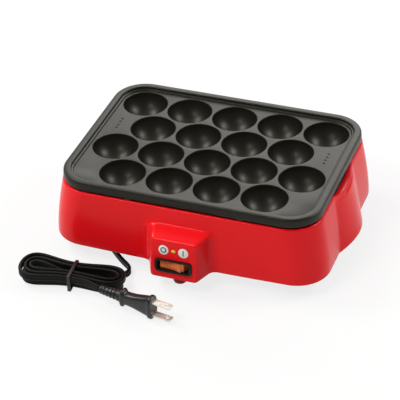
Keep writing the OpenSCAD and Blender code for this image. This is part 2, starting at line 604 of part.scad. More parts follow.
// ---- Leads inside ----
lead_r = 1.1;
function in_panel(x, in, up) = [x, front_y + in * cos(lean) + up * sin(lean),
    box_bottom_z - in * sin(lean) + up * cos(lean)];
cover_top_z = base_z + base_t;
under_z = cover_top_z + lead_r + 0.2;
tab_end = 24.4;
fuse_z = tray_floor_z - seat_gap - fuse_r;
tab_low_z = element_z - tab_h / 2 - 0.2;
tab_y = -ends_y - 2.9;
gap_y = -ends_y + 0.8;
function from_shaft(x, y, z) = [shaft_place[0] + x, shaft_place[1] + y, z];
function from_clamp(x, y, up) = [clamp_place[0] + x, clamp_place[1] + y, under_z + up];
module lead(path) sweep(path, round_section(lead_r, 6));
module internal_leads() color("#e6e2da") seated() {
    lead([from_shaft(-0.9, -1.3, 10), from_shaft(-0.4, -1.2, cover_top_z + 1), from_shaft(3, -0.4, cover_top_z + 3.2),
          from_clamp(-9, -2, 0.6), from_clamp(-4, -1, 0), from_clamp(4, -2.1, 0), from_clamp(10, -4, 0.8),
          [-44, -62, 23], [-18, -74, 24], in_panel(-tab_x, tab_end + 5, switch_up), in_panel(-tab_x, tab_end, switch_up)]);
    lead([from_shaft(0.7, 1.5, 10), from_shaft(1.2, 1.7, cover_top_z + 1), from_shaft(4.7, 3.1, cover_top_z + 3.2),
          from_clamp(-8, 1, 0.6), from_clamp(-3.6, 2, 0), from_clamp(4.4, 0.9, 0), from_clamp(11, -1.6, 4),
          [-60, -62, 27], [-50, gap_y, 29], [-36, gap_y, 33], [-22, gap_y, 38],
          [-ends_gap / 2 - 0.3, tab_y + 0.1, tab_low_z - 3], [-ends_gap / 2, tab_y, tab_low_z]]);
    lead([in_panel(0, tab_end, switch_up), in_panel(0, tab_end + 4, switch_up), [3, -60, 25], [6, -30, 27.5],
          [8, -14, tray_floor_z - 5], [thermostat_place[0] - thermostat_r - 1.6, thermostat_place[1], fuse_z],
          [thermostat_place[0] - thermostat_r - 0.2, thermostat_place[1], fuse_z]]);
    lead([[thermostat_place[0] + thermostat_r + 0.2, thermostat_place[1], fuse_z],
          [thermostat_place[0] + thermostat_r + 1.6, thermostat_place[1], fuse_z],
          [(thermostat_place[0] + thermostat_r + fuse_place[0] - fuse_l / 2) / 2, thermostat_place[1] - 2.5, fuse_z - 1],
          [fuse_place[0] - fuse_l / 2 - 1.6, fuse_place[1], fuse_z], [fuse_place[0] - fuse_l / 2 - 0.2, fuse_place[1], fuse_z]]);
    lead([[fuse_place[0] + fuse_l / 2 + 0.2, fuse_place[1], fuse_z], [fuse_place[0] + fuse_l / 2 + 1.6, fuse_place[1], fuse_z],
          [67, -11, fuse_z - 1], [71, -20, fuse_z - 2], [68, -38, fuse_z - 3], [60, -56, fuse_z - 3],
          [50, -76, fuse_z - 1], [36, gap_y, 35], [22, gap_y, 38],
          [ends_gap / 2 + 0.3, tab_y + 0.1, tab_low_z - 3], [ends_gap / 2, tab_y, tab_low_z]]);
    lead([in_panel(0, wall + 1.2 + lamp_l + 0.2, marks_up), in_panel(0, wall + 2.8 + lamp_l, marks_up), in_panel(1, wall + 5 + lamp_l, marks_up - 1),
          in_panel(5, 20, marks_up - 7), in_panel(7.6, 21.6, marks_up - 10), in_panel(tab_x, 22.2, switch_up + 3.6)]);
}
module on_clamp() translate([clamp_place[0], clamp_place[1], cover_top_z]) rotate([0, 0, clamp_turn]) children();
module cord_clamp() color("#2a2826") seated() on_clamp() difference() {
    translate([-4, -clamp_l / 2, 0]) cube([8, clamp_l, 4.6]);
    translate([-5, -4.2, -1]) cube([10, 8.4, 3.9]);
    for (i = [-1, 1]) translate([0, i * (clamp_l / 2 - 3.5), -1]) cylinder(h = 7, r = clamp_hole_r, $fn = 24);
}
module clamp_screws() color("silver") seated() on_clamp() for (i = [-1, 1])
    translate([0, i * (clamp_l / 2 - 3.5), 0]) {
        translate([0, 0, 4.6]) cylinder(h = 1.4, r = 2.3, $fn = 24);
        translate([0, 0, -base_t + 0.2]) cylinder(h = base_t + 4.5, r = clamp_hole_r - 0.05, $fn = 24);
    }

// ---- Cord ----
bush_l = 24;
outlet_run = [cos(outlet_pitch) * cos(outlet_heading), cos(outlet_pitch) * sin(outlet_heading), sin(outlet_pitch)];
bush_tip = outlet_face + bush_l * outlet_run;
bush_tip_r = 3.9;
module cord_bushing() color("#1b1a19") seated() along(outlet_face, outlet_heading, outlet_pitch) {
    n = 6;
    step = (bush_l - 3) / n;
    rotate_extrude($fn = 32) polygon(concat([[0, -stub_l], [stub_r, -stub_l], [stub_r, 0], [5.2, 0], [5.2, 2]],
        [for (k = [0:n - 1], e = [0, 1, 2, 3])
            let (z = 2 + step * (k + [0.1, 0.5, 0.55, 0.95][e]), t = z / bush_l,
                 r = 4.9 + (bush_tip_r - 4.9) * t - (e == 0 || e == 1 ? 0.7 : 0)) [r, z]],
        [[bush_tip_r, bush_l - 0.6], [bush_tip_r, bush_l], [0, bush_l]]));
}
// The flat twin cord stands on edge
cord_section = [for (c = [[0.22, 0.5], [0.5, 0.3], [0.5, -0.3], [0.22, -0.5], [-0.22, -0.5], [-0.5, -0.3], [-0.5, 0.3], [-0.22, 0.5]])
    [c[0] * cord_t, c[1] * cord_h]];
hank_section = [for (c = [[0, 0.5], [0.5, 0.3], [0.5, -0.3], [0, -0.5], [-0.5, -0.3], [-0.5, 0.3]])
    [c[0] * cord_t, c[1] * cord_h]];

// Two layers of loops: the spiral goes in, climbs on the back run and comes out again
hank_place = [-86, -121.5];
hank_turn = 4;
hank_waist = 9.4;
hank_lobe = 29;
hank_from = 60;
hank_turnback = 810;
hank_to = 1710;
hank_low_z = cord_h / 2 + 1;
layer_step = cord_h + 0.5;
climb_from = 780;
climb_to = 870;
function hank_in(a) = hank_step * (a < hank_turnback ? a - hank_from : 2 * hank_turnback - hank_from - a) / 360;
function hank_point(a) =
    let (o = hank_in(a), w = hank_waist - o, l = hank_lobe - 3 * cos(a) - 2.6 * o,
         x = (hank_half - o) * cos(a), y = sin(a) * (w + (l - w) * cos(a) * cos(a)))
    [hank_place[0] + x * cos(hank_turn) - y * sin(hank_turn),
     hank_place[1] + x * sin(hank_turn) + y * cos(hank_turn),
     hank_low_z + layer_step * ease(a, climb_from, climb_to)];
hank_first = unit(hank_point(hank_from + 1) - hank_point(hank_from));
hank_last = unit(hank_point(hank_to) - hank_point(hank_to - 1));
hank_start = hank_point(hank_from) - cord_h * hank_first;
hank_end = hank_point(hank_to) + cord_h * hank_last;
hank_path = concat([hank_start], [for (a = [hank_from:15:hank_to]) hank_point(a)], [hank_end]);

// Least gap between strands that aren't neighbours along the cord, on centre line points
function strand_gap(p, a, b) =
    let (q = [p[0], p[1]], f = [a[0], a[1]], d = [b[0] - a[0], b[1] - a[1]],
         t = max(0, min(1, (q - f) * d / (d * d))),
         flat = norm(q - f - t * d) - cord_t, high = abs(p[2] - a[2] - t * (b[2] - a[2])) - cord_h)
    flat > 0 && high > 0 ? norm([flat, high]) : max(flat, high);
echo(hank_gap = min([for (i = [0:len(hank_path) - 1], j = [0:len(hank_path) - 2])
    if (abs(i - j) > 5) strand_gap(hank_path[i], hank_path[j], hank_path[j + 1])]));

lead_points = [[-63.2, -77.8, 3.6], [-58.5, -82, 3.4], [-54, -85.9, 3.4], [-49.6, -89.3, 3.4],
               [-46.2, -93.2, 3.5], [-44.7, -98, 3.7], [-46.4, -102.4, 3.9], [-50, -104.9, 4.2]];
lead_path = concat([bush_tip, bush_tip + 3.3 * outlet_run], lead_points, [hank_start - 3.3 * hank_first, hank_start]);
plug_from = [-54.6, -136.3, 10.8];
plug_heading = -11;
plug_dir = [cos(plug_heading), sin(plug_heading), 0];
tail_points = [[-71.5, -132, 11.4], [-65.5, -133.3, 11.2]];
tail_path = concat([hank_end, hank_end + 3.3 * hank_last], tail_points, [plug_from - 3.3 * plug_dir, plug_from]);

module cord_lead() color("#1d1c1a") seated() sweep(lead_path, cord_section);
module cord_hank() color("#1d1c1a") seated() sweep(hank_path, hank_section);
module cord_tail() color("#1d1c1a") seated() sweep(tail_path, cord_section);
tie_w = 3;
tie_t = 0.7;
tie_low = -12.8;
tie_high = 10.8;
tie_top = hank_low_z + layer_step + cord_h / 2 + 0.2;
module cord_tie() color("#151413") seated() translate([hank_place[0], hank_place[1], 0]) rotate([0, 0, hank_turn])
    translate([-tie_w / 2, 0, 0]) difference() {
        translate([0, tie_low - tie_t, 0]) cube([tie_w, tie_high - tie_low + 2 * tie_t, tie_top + tie_t]);
        translate([-1, tie_low, tie_t]) cube([tie_w + 2, tie_high - tie_low, tie_top - tie_t]);
    }

// ---- Plug ----
relief_l = 21;
collar_l = 3.5;
plug_l = 31;
module on_plug() seated() along(plug_from, plug_heading, 0) children();
module plug_relief() color("#1d1c1a") on_plug() {
    n = 5;
    step = (relief_l - 3) / n;
    rotate_extrude($fn = 32) polygon(concat([[0, 0], [3.7, 0], [3.8, 2]],
        [for (k = [0:n - 1], e = [0, 1, 2, 3])
            let (z = 2 + step * (k + [0.1, 0.5, 0.55, 0.95][e]), r = 3.9 + 1.1 * z / relief_l - (e < 2 ? 0.7 : 0)) [r, z]],
        [[5, relief_l - 0.6], [5, relief_l], [0, relief_l]]));
}
module plug_body() color("#1d1c1a") on_plug() {
    translate([-8.25, -5.5, relief_l]) cube([16.5, 11, collar_l]);
    intersection() {
        translate([0, 20, relief_l]) rotate([90, 0, 0]) linear_extrude(40)
            polygon([[-5.5, collar_l], [5.5, collar_l], [6.4, 14], [9.2, 25], [10.75, plug_l - 4], [10.75, plug_l],
                     [-10.75, plug_l], [-10.75, plug_l - 4], [-9.2, 25], [-6.4, 14]]);
        translate([-20, 0, relief_l]) rotate([90, 0, 90]) linear_extrude(40)
            polygon([[-4.6, collar_l], [4.6, collar_l], [4.9, 18], [5, plug_l - 4.2], [6.25, plug_l - 4], [6.25, plug_l],
                     [-6.25, plug_l], [-6.25, plug_l - 4], [-5, plug_l - 4.2], [-4.9, 18]]);
    }
}
module plug_blades() color("#d6d4cc") on_plug() for (i = [-1, 1])
    translate([i * blade_gap / 2 - blade_t / 2, -blade_w / 2, relief_l + plug_l]) difference() {
        cube([blade_t, blade_w, blade_l]);
        translate([-1, blade_w / 2, blade_l - 4]) rotate([0, 90, 0]) cylinder(h = 4, r = 1.6, $fn = 24);
    }

griddle_plate();
body_shell();
base_cover();
foot_pads();
heat_tray();
plate_rests();
heating_element();
element_bushes();
element_clips();
element_tabs();
thermostat();
thermostat_bracket();
bracket_screws();
thermal_fuse();
fuse_clip();
switch_body();
rocker();
contact_lever();
switch_terminals();
indicator_lens();
indicator_lamp();
mark_discs();
mark_signs();
internal_leads();
cord_clamp();
clamp_screws();
base_screws();
tray_screws();
cord_bushing();
cord_lead();
cord_hank();
cord_tail();
cord_tie();
plug_relief();
plug_body();
plug_blades();
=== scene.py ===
from math import atan, cos, pi, radians, sin, sqrt

import bmesh
import bpy
from mathutils import Matrix, Vector


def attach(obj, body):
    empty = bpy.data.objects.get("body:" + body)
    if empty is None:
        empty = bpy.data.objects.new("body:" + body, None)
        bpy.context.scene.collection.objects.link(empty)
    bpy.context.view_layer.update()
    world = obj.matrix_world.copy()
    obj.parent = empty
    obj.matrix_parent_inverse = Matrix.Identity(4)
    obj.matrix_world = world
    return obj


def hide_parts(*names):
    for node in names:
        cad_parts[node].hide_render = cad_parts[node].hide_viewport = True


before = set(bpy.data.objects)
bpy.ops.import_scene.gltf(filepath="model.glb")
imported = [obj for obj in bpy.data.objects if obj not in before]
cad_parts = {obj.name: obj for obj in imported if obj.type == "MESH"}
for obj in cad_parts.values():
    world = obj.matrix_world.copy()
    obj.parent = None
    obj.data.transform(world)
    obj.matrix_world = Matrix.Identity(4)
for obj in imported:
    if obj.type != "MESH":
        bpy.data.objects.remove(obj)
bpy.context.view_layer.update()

mm = 0.001  # lengths are in mm, as on the drawing; only the lamps are placed in metres
seat = dict(midY=10.27677, edgeZ=15.0, shoulderZ=69.0)


# ---- small tools ----
def placed(name, data):
    thing = bpy.data.objects.new(name, data)
    bpy.context.scene.collection.objects.link(thing)
    return thing


def newPiece(name, points, faces):
    mesh = bpy.data.meshes.new(name)
    mesh.from_pydata([[c * mm for c in p] for p in points], [], faces)
    return placed(name, mesh)


def pieceFrom(name, bm):
    mesh = bpy.data.meshes.new(name)
    bm.to_mesh(mesh)
    bm.free()
    return placed(name, mesh)


def linearColour(code):
    parts = [int(code[i:i + 2], 16) / 255 for i in (1, 3, 5)]
    return [c / 12.92 if c <= 0.04045 else ((c + 0.055) / 1.055) ** 2.4 for c in parts] + [1.0]


def addNode(tree, kind, inputs=None, **settings):
    # an input is a value, a socket to link, or a list of sockets to link in their order
    node = tree.nodes.new(kind)
    for key, value in settings.items():
        setattr(node, key, value)
    for key, value in (inputs or {}).items():
        several = isinstance(value, list) and isinstance(value[0], bpy.types.NodeSocket)
        for one in value if several else [value]:
            if isinstance(one, bpy.types.NodeSocket):
                tree.links.new(one, node.inputs[key])
            else:
                node.inputs[key].default_value = one
    return node


def settle(piece, sharp=35):
    # modifiers become the mesh, then edges under the angle are shaded smooth
    bpy.context.view_layer.update()
    seen = piece.evaluated_get(bpy.context.evaluated_depsgraph_get())
    done = bpy.data.meshes.new_from_object(seen)
    piece.modifiers.clear()
    old, piece.data = piece.data, done
    bpy.data.meshes.remove(old)
    done.name = piece.name
    done.shade_smooth()
    done.set_sharp_from_angle(angle=radians(sharp))
    return piece


def cleaned(piece, gap=0.002, outward=True, flat=None):
    # points closer than the gap become one; faces that lie flat within the angle become one
    bm = bmesh.new()
    bm.from_mesh(piece.data)
    bmesh.ops.remove_doubles(bm, verts=bm.verts, dist=gap * mm)
    if flat:
        bmesh.ops.dissolve_limit(bm, angle_limit=radians(flat), verts=bm.verts, edges=bm.edges)
    if outward:
        bmesh.ops.recalc_face_normals(bm, faces=bm.faces)
    bm.to_mesh(piece.data)
    bm.free()
    return piece


def rounded(piece, width, segments=3, angle=30):
    bevel = piece.modifiers.new("edges", "BEVEL")
    bevel.width = width * mm
    bevel.segments = segments
    bevel.limit_method = "ANGLE"
    bevel.angle_limit = radians(angle)
    bevel.use_clamp_overlap = True
    bevel.miter_outer = "MITER_ARC"
    return piece


def cutWith(piece, cutters, sharp=35):
    # the cutters are taken out of the piece and are gone
    for cutter in cutters:
        cut = piece.modifiers.new(cutter.name, "BOOLEAN")
        cut.operation, cut.solver, cut.object = "DIFFERENCE", "EXACT", cutter
    settle(piece, sharp)
    for cutter in cutters:
        bpy.data.objects.remove(cutter)
    return piece


def joined(name, parts):
    bm = bmesh.new()
    for part in parts:
        bm.from_mesh(part.data)
    for part in parts:
        bpy.data.objects.remove(part)
    return pieceFrom(name, bm)


def dressed(piece, finish, body, slot, *nodes):
    piece.data.materials.clear()
    piece.data.materials.append(finish)
    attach(piece, body)
    if nodes:
        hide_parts(*nodes)
    return piece


def softCopy(name, node, width, segments, finish, slot):
    # the drawn piece again, with its moulded or pressed edges broken
    piece = placed(name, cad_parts[node].data.copy())
    settle(rounded(cleaned(piece, outward=False, flat=0.4), width, segments))
    return dressed(piece, finish, "base", slot, node)


def ringSkin(rings, closed=False, caps=(False, False)):
    # faces between rings of equally many points; the first and the last ring may be capped
    n, m = len(rings[0]), len(rings)
    points = [p for ring in rings for p in ring]
    faces = [(j * n + i, j * n + (i + 1) % n, ((j + 1) % m) * n + (i + 1) % n, ((j + 1) % m) * n + i)
             for j in range(m if closed else m - 1) for i in range(n)]
    if caps[0]:
        faces.append(tuple(reversed(range(n))))
    if caps[1]:
        faces.append(tuple(range((m - 1) * n, m * n)))
    return points, faces


def solidOf(name, rings):
    return cleaned(newPiece(name, *ringSkin(rings, caps=(True, True))))


def spun(name, profile, steps=40):
    # radius and height pairs turned about +Z
    return solidOf(name, [[(r * cos(2 * pi * k / steps), r * sin(2 * pi * k / steps), z)
                           for k in range(steps)] for r, z in profile])


def squircle(a, b, power, steps=48):
    # an oval whose sides flatten as the power grows
    out = []
    for k in range(steps):
        c, s = cos(2 * pi * k / steps), sin(2 * pi * k / steps)
        out.append((a * abs(c) ** (2 / power) * (1 if c > 0 else -1),
                    b * abs(s) ** (2 / power) * (1 if s > 0 else -1)))
    return out


def wayOf(heading, pitch):
    h, p = radians(heading), radians(pitch)
    return Vector((cos(p) * cos(h), cos(p) * sin(h), sin(p)))


def roundedRing(w, d, r, z, middle, steps=14):
    points = []
    for cx, cy, start in ((1, -1, -90), (1, 1, 0), (-1, 1, 90), (-1, -1, 180)):
        for k in range(steps + 1):
            a = radians(start + 90 * k / steps)
            points.append((cx * (w / 2 - r) + r * cos(a), cy * (d / 2 - r) + r * sin(a) + middle, z))
    return points


def filleted(a, b, c, radius, steps=8):
    # an arc in place of the corner b, tangent to both of its sides
    toA, toC = (a - b).normalized(), (c - b).normalized()
    half = toA.angle(toC) / 2
    middle = b + (toA + toC).normalized() * radius / sin(half)
    along = radius / (sin(half) / cos(half))
    first, last = b + toA * along - middle, b + toC * along - middle
    return [middle + first.slerp(last, k / steps) for k in range(steps + 1)]


def boxCutter(name, size, place):
    x, y, z = (c / 2 for c in size)
    points = [(i * x, j * y, k * z) for i in (-1, 1) for j in (-1, 1) for k in (-1, 1)]
    faces = [(0, 1, 3, 2), (4, 6, 7, 5), (0, 4, 5, 1), (2, 3, 7, 6), (0, 2, 6, 4), (1, 5, 7, 3)]
    cutter = newPiece(name, points, faces)
    cutter.data.transform(place)
    return cleaned(cutter)


def smoothStep(t, a, b):
    u = max(0.0, min(1.0, (t - a) / (b - a)))
    return u * u * (3 - 2 * u)


def between(x, table):
    if x <= table[0][0]:
        return table[0][1]
    for (a, p), (b, q) in zip(table, table[1:]):
        if x <= b:
            return p + (q - p) * (x - a) / (b - a)
    return table[-1][1]


def eased(x, table, reach):
    # the table read at nine places around x, so that its corners come out round
    return sum(between(x + reach * k / 4, table) for k in range(-4, 5)) / 9


# ---- camera: the photograph's own view, from above the right of the switch ----
view = dict(azimuth=20.5008, elevation=34.578, roll=-1.583, lens=166.35, sensor=36, near=50,
            place=(459.35, -1256.893, 953.19))


def placeCamera():
    a, e, r = (radians(view[k]) for k in ("azimuth", "elevation", "roll"))
    back = Vector((sin(a) * cos(e), -cos(a) * cos(e), sin(e)))
    right = Vector((cos(a), sin(a), 0))
    up = back.cross(right)
    camRight = right * cos(r) + up * sin(r)
    camUp = up * cos(r) - right * sin(r)
    turn = Matrix((camRight, camUp, back)).transposed().to_4x4()
    data = bpy.data.cameras.new("photoCamera")
    data.lens, data.sensor_width, data.clip_start = view["lens"], view["sensor"], view["near"] * mm
    camera = placed("photoCamera", data)
    camera.matrix_world = Matrix.Translation(Vector(view["place"]) * mm) @ turn
    bpy.context.scene.camera = camera


placeCamera()
print("camera set")


# ---- finishes ----
# the part of each noise that is used, from its low to its high end; a speck fades between its two
noise = dict(patch=(0.3, 0.7), patchDetail=4.0, grain=(0.25, 0.75), grainDetail=2.0, speck=(0.12, 0.3))
coatRough = 0.08


def finishOf(name, colour, rough, metal=0.0, ior=1.5, other=None, patch=18.0, share=0.5, grain=0.6,
             depth=0.01, spread=0.06, coat=0.0, stretch=(1, 1, 1), speck=None, through=0.0,
             sheenTint="#ffffff"):
    # patch and grain are sizes in mm: the colour drifts towards other over patches, while bump and
    # roughness follow the grain; speck is a colour, a spacing in mm and a strength
    material = bpy.data.materials.new(name)
    material.use_nodes = True
    tree = material.node_tree
    tree.nodes.clear()
    place = addNode(tree, "ShaderNodeMapping", {
        "Vector": addNode(tree, "ShaderNodeTexCoord").outputs["Object"], "Scale": stretch}).outputs[0]
    clouds = addNode(tree, "ShaderNodeTexNoise", {
        "Vector": place, "Scale": 1 / (patch * mm), "Detail": noise["patchDetail"]}).outputs["Fac"]
    fine = addNode(tree, "ShaderNodeTexNoise", {
        "Vector": place, "Scale": 1 / (grain * mm), "Detail": noise["grainDetail"]}).outputs["Fac"]
    drift = addNode(tree, "ShaderNodeMapRange", {
        "Value": clouds, "From Min": noise["patch"][0], "From Max": noise["patch"][1],
        "To Min": 0.0, "To Max": share})
    tone = addNode(tree, "ShaderNodeMix", {
        0: drift.outputs[0], 6: linearColour(colour), 7: linearColour(other or colour)},
        data_type="RGBA").outputs[2]
    if speck:
        dotColour, spacing, strength = speck
        dots = addNode(tree, "ShaderNodeTexVoronoi", {"Vector": place, "Scale": 1 / (spacing * mm)})
        mask = addNode(tree, "ShaderNodeMapRange", {
            "Value": dots.outputs["Distance"], "From Min": noise["speck"][0],
            "From Max": noise["speck"][1], "To Min": strength, "To Max": 0.0})
        tone = addNode(tree, "ShaderNodeMix", {
            0: mask.outputs[0], 6: tone, 7: linearColour(dotColour)}, data_type="RGBA").outputs[2]
    roughness = addNode(tree, "ShaderNodeMapRange", {
        "Value": fine, "From Min": noise["grain"][0], "From Max": noise["grain"][1],
        "To Min": rough - spread, "To Max": rough + spread})
    bump = addNode(tree, "ShaderNodeBump", {"Height": fine, "Strength": 1.0, "Distance": depth * mm})
    shader = addNode(tree, "ShaderNodeBsdfPrincipled", {
        "Base Color": tone, "Roughness": roughness.outputs[0], "Metallic": metal,
        "Normal": bump.outputs[0], "Coat Weight": coat, "Coat Roughness": coatRough,
        "Transmission Weight": through, "Specular Tint": linearColour(sheenTint)})
    if not metal:
        shader.inputs["IOR"].default_value = ior
    addNode(tree, "ShaderNodeOutputMaterial", {"Surface": shader.outputs[0]})
    return material


# glossy injection moulded polypropylene: clean colour, a long soft sheen, a trace of orange peel
shellRed = finishOf("polypropyleneRed", "#df141a", 0.22, ior=1.24, other="#d21018", patch=60,
                    grain=5.0, depth=0.002, spread=0.02)
# the same resin from a spark-eroded mould, duller; its colour is drawn darker as painted shade, for the
# base and its legs sit in the shadow under the body
shadedBaseRed = finishOf("polypropyleneBase", "#8c0a12", 0.42, ior=1.3, other="#74080f", patch=30,
                   grain=0.9, depth=0.012)
# die cast aluminium under two coats of PTFE: warm near-black satin; the real grain is finer and is
# drawn at 0.9 mm to show
coating = finishOf("ptfeCoatedCasting", "#14130f", 0.38, ior=1.34, other="#0f0e0b", patch=14,
                   grain=0.9, depth=0.012, spread=0.05, speck=("#34322b", 1.1, 0.3),
                   sheenTint="#fffbe8")
# moulded nitrile rubber: dead matt, dusty
rubber = finishOf("nitrileRubber", "#201e1c", 0.82, ior=1.52, other="#2b2825", patch=4, grain=0.4,
                  depth=0.02)
# hot-dip aluminised steel sheet, pressed: pale spangle, drawn at 6 mm
traySteel = finishOf("aluminisedSteel", "#b5b6b2", 0.34, metal=1.0, other="#94958f", patch=6,
                     share=0.8, grain=1.4, depth=0.008)
# stainless sheath of a tubular heater: browned by heat along its length
sheath = finishOf("heaterSheath", "#77706a", 0.42, metal=1.0, other="#54463a", patch=22, share=0.9,
                  grain=0.7, depth=0.012)
# pressed steatite ceramic: chalky, faintly speckled
steatite = finishOf("steatiteCeramic", "#dcd5c6", 0.55, ior=1.58, other="#cbc2b0", patch=5,
                    grain=0.5, depth=0.02, speck=("#9b8f7c", 1.6, 0.4))
# zinc plated steel screws: a cool even grey
zinc = finishOf("zincPlating", "#c3c4c1", 0.28, metal=1.0, other="#9fa09c", patch=2.5, grain=0.5,
                depth=0.006)
# moulded ABS of the switch bezel: deep black, softly lit edges
blackAbs = finishOf("blackAbs", "#0a0a0b", 0.33, ior=1.36, other="#101012", patch=6, grain=0.7,
                    depth=0.006)
# tinted polycarbonate rocker: its lighter warm patches are painted light, standing for light that comes
# through its thickness; a little real transmission adds to them
amber = finishOf("amberPolycarbonate", "#cf4a1c", 0.26, ior=1.5, other="#e8812c", patch=4.5,
                 share=0.9, grain=1.2, depth=0.008, through=0.12, coat=0.3)
# phosphor bronze contact spring: rolled and bright
bronze = finishOf("phosphorBronze", "#b5763f", 0.3, metal=1.0, other="#8e5a30", patch=4, grain=0.5,
                  depth=0.004)
# cast yellow acrylic of the lamp lens: a wet shine
acrylic = finishOf("yellowAcrylic", "#e0bf16", 0.16, ior=1.49, other="#c99a10", patch=2.2,
                   grain=0.8, depth=0.004, coat=0.4)
# pad printed discs and signs: flat ink with a slightly uneven edge to its sheen
discPrint = finishOf("printedDisc", "#d9ddd7", 0.4, other="#cdd2cb", patch=3, grain=0.5, depth=0.005)
signPrint = finishOf("printedSign", "#17181a", 0.45, other="#222326", patch=2, grain=0.5,
                     depth=0.005)
# glass fibre sleeved hook-up wire: fuzzy off-white braid
sleeve = finishOf("glassSleeve", "#d8d2c4", 0.7, other="#c2bbaa", patch=3, grain=0.4, depth=0.03)
# compression moulded phenolic of the thermostat: brown, half matt
phenolic = finishOf("phenolic", "#3a2c24", 0.5, ior=1.6, other="#2c211b", patch=4, grain=0.5,
                    depth=0.01)
# plasticised PVC of the cord and of the plug: black with a waxy satin, lighter where it is rubbed
cordPvc = finishOf("pvcBlack", "#0d0d0c", 0.48, ior=1.2, other="#151513", patch=9, share=0.7,
                   grain=1.1, depth=0.012)
plugPvc = finishOf("pvcMoulding", "#101011", 0.36, other="#181817", patch=7, share=0.6,
                   grain=0.8, depth=0.012)
# nickel plated brass blades: pale and softly brushed along their length
nickel = finishOf("nickelPlating", "#f0ece2", 0.5, metal=1.0, other="#e0dbcf", patch=5, grain=0.5,
                  depth=0.004, stretch=(1, 1, 3))
print("finishes made")


# ---- cord: flat twin lead on its edge, from the bushing through the hank to the plug ----
cordShape = dict(width=6.6, thick=3.0, groove=28, step=1.6,  # section, and the path's step
                 face=(-90.2, -54.4, 8.0), heading=-40.8, pitch=-7.2, bush=24.0,
                 place=(-86.0, -121.5), turn=4.0, half=46.0, waist=9.4, lobe=29.0, skew=3.0,
                 inStep=4.0, spread=2.6, first=60, back=810, last=1710, stride=15,
                 low=4.3, layer=7.1, climbFrom=780, climbTo=870)
leadPoints = [(-63.2, -77.8, 3.6), (-58.5, -82, 3.4), (-54, -85.9, 3.4), (-49.6, -89.3, 3.4),
              (-46.2, -93.2, 3.5), (-44.7, -98, 3.7), (-46.4, -102.4, 3.9), (-50, -104.9, 4.2)]
tailPoints = [(-71.5, -132, 11.4), (-65.5, -133.3, 11.2)]
plugSeat = dict(place=(-54.6, -136.3, 10.8), heading=-11.0)


def hankPoint(a):
    # a pinched loop walked by its angle: inwards turn by turn, up a layer, and outwards again
    c = cordShape
    inward = c["inStep"] * ((a if a < c["back"] else 2 * c["back"] - a) - c["first"]) / 360
    waist = c["waist"] - inward
    lobe = c["lobe"] - c["skew"] * cos(radians(a)) - c["spread"] * inward
    x = (c["half"] - inward) * cos(radians(a))
    y = sin(radians(a)) * (waist + (lobe - waist) * cos(radians(a)) ** 2)
    t = radians(c["turn"])
    return Vector((c["place"][0] + x * cos(t) - y * sin(t), c["place"][1] + x * sin(t) + y * cos(t),
                   c["low"] + c["layer"] * smoothStep(a, c["climbFrom"], c["climbTo"])))


def alongCurve(points, step):
    # a Catmull-Rom line through the points, so that the lead has no corners
    out = []
    for i in range(len(points) - 1):
        a, b, c, d = (points[max(0, min(len(points) - 1, i + k))] for k in (-1, 0, 1, 2))
        if i == 0:
            a = b - (c - b)
        if i == len(points) - 2:
            d = c + (c - b)
        n = max(2, round((c - b).length / step))
        for k in range(n):
            t = k / n
            out.append(0.5 * (2 * b + (c - a) * t + (2 * a - 5 * b + 4 * c - d) * t * t
                              + (3 * b - a - 3 * c + d) * t ** 3))
    return out + [points[-1]]


def cordPath():
    c = cordShape
    run = wayOf(c["heading"], c["pitch"])
    tip = Vector(c["face"]) + run * c["bush"]
    firstWay = (hankPoint(c["first"] + 1) - hankPoint(c["first"])).normalized()
    lastWay = (hankPoint(c["last"]) - hankPoint(c["last"] - 1)).normalized()
    plugWay = wayOf(plugSeat["heading"], 0)
    plug = Vector(plugSeat["place"])
    stub = c["width"] / 2  # a straight start at every end
    start = hankPoint(c["first"]) - firstWay * c["width"]
    end = hankPoint(c["last"]) + lastWay * c["width"]
    lead = [Vector(q) for q in leadPoints]
    lead = [tip, tip + run * stub] + lead + [start - firstWay * stub, start]
    loops = [hankPoint(a) for a in range(c["first"], c["last"] + 1, c["stride"])]
    tail = [Vector(q) for q in tailPoints]
    tail = [end, end + lastWay * stub] + tail + [plug - plugWay * stub, plug]
    return alongCurve(lead + loops + tail, c["step"])


def flatSection(width, thick, groove, steps=11):
    # two round conductors, one above the other, with a shallow groove between them
    r = thick / 2
    out = []
    for side in (1, -1):
        for k in range(steps):
            a = radians(90 * side + 90 + groove - (180 + 2 * groove) * k / (steps - 1))
            out.append((r * cos(a), side * (width / 2 - r) + r * sin(a)))
    return out


def sweptTube(name, path, section):
    rings = []
    for i, p in enumerate(path):
        way = (path[min(i + 1, len(path) - 1)] - path[max(i - 1, 0)]).normalized()
        side = way.cross(Vector((0, 0, 1))).normalized()
        up = side.cross(way)
        rings.append([p + side * s + up * v for s, v in section])
    return solidOf(name, rings)


def makeCord():
    c = cordShape
    shift = Vector((0, seat["midY"], 0))
    path = [p + shift for p in cordPath()]
    length = sum((b - a).length for a, b in zip(path, path[1:])) * mm
    print("cord length", round(length, 3), "m")
    piece = sweptTube("powerCord", path, flatSection(c["width"], c["thick"], c["groove"]))
    dressed(settle(piece, 50), cordPvc, "base", "cord", "cord_lead", "cord_hank", "cord_tail")
    return piece, path, length


powerCord, cordLine, cordLength = makeCord()


# ---- bushing and relief: cores with ribs set along them ----
def axisFrame(place, heading, pitch):
    z = wayOf(heading, pitch)
    y = Vector((-sin(radians(heading)), cos(radians(heading)), 0))
    x = y.cross(z)
    turn = Matrix((x, y, z)).transposed().to_4x4()
    return Matrix.Translation((Vector(place) + Vector((0, seat["midY"], 0))) * mm) @ turn


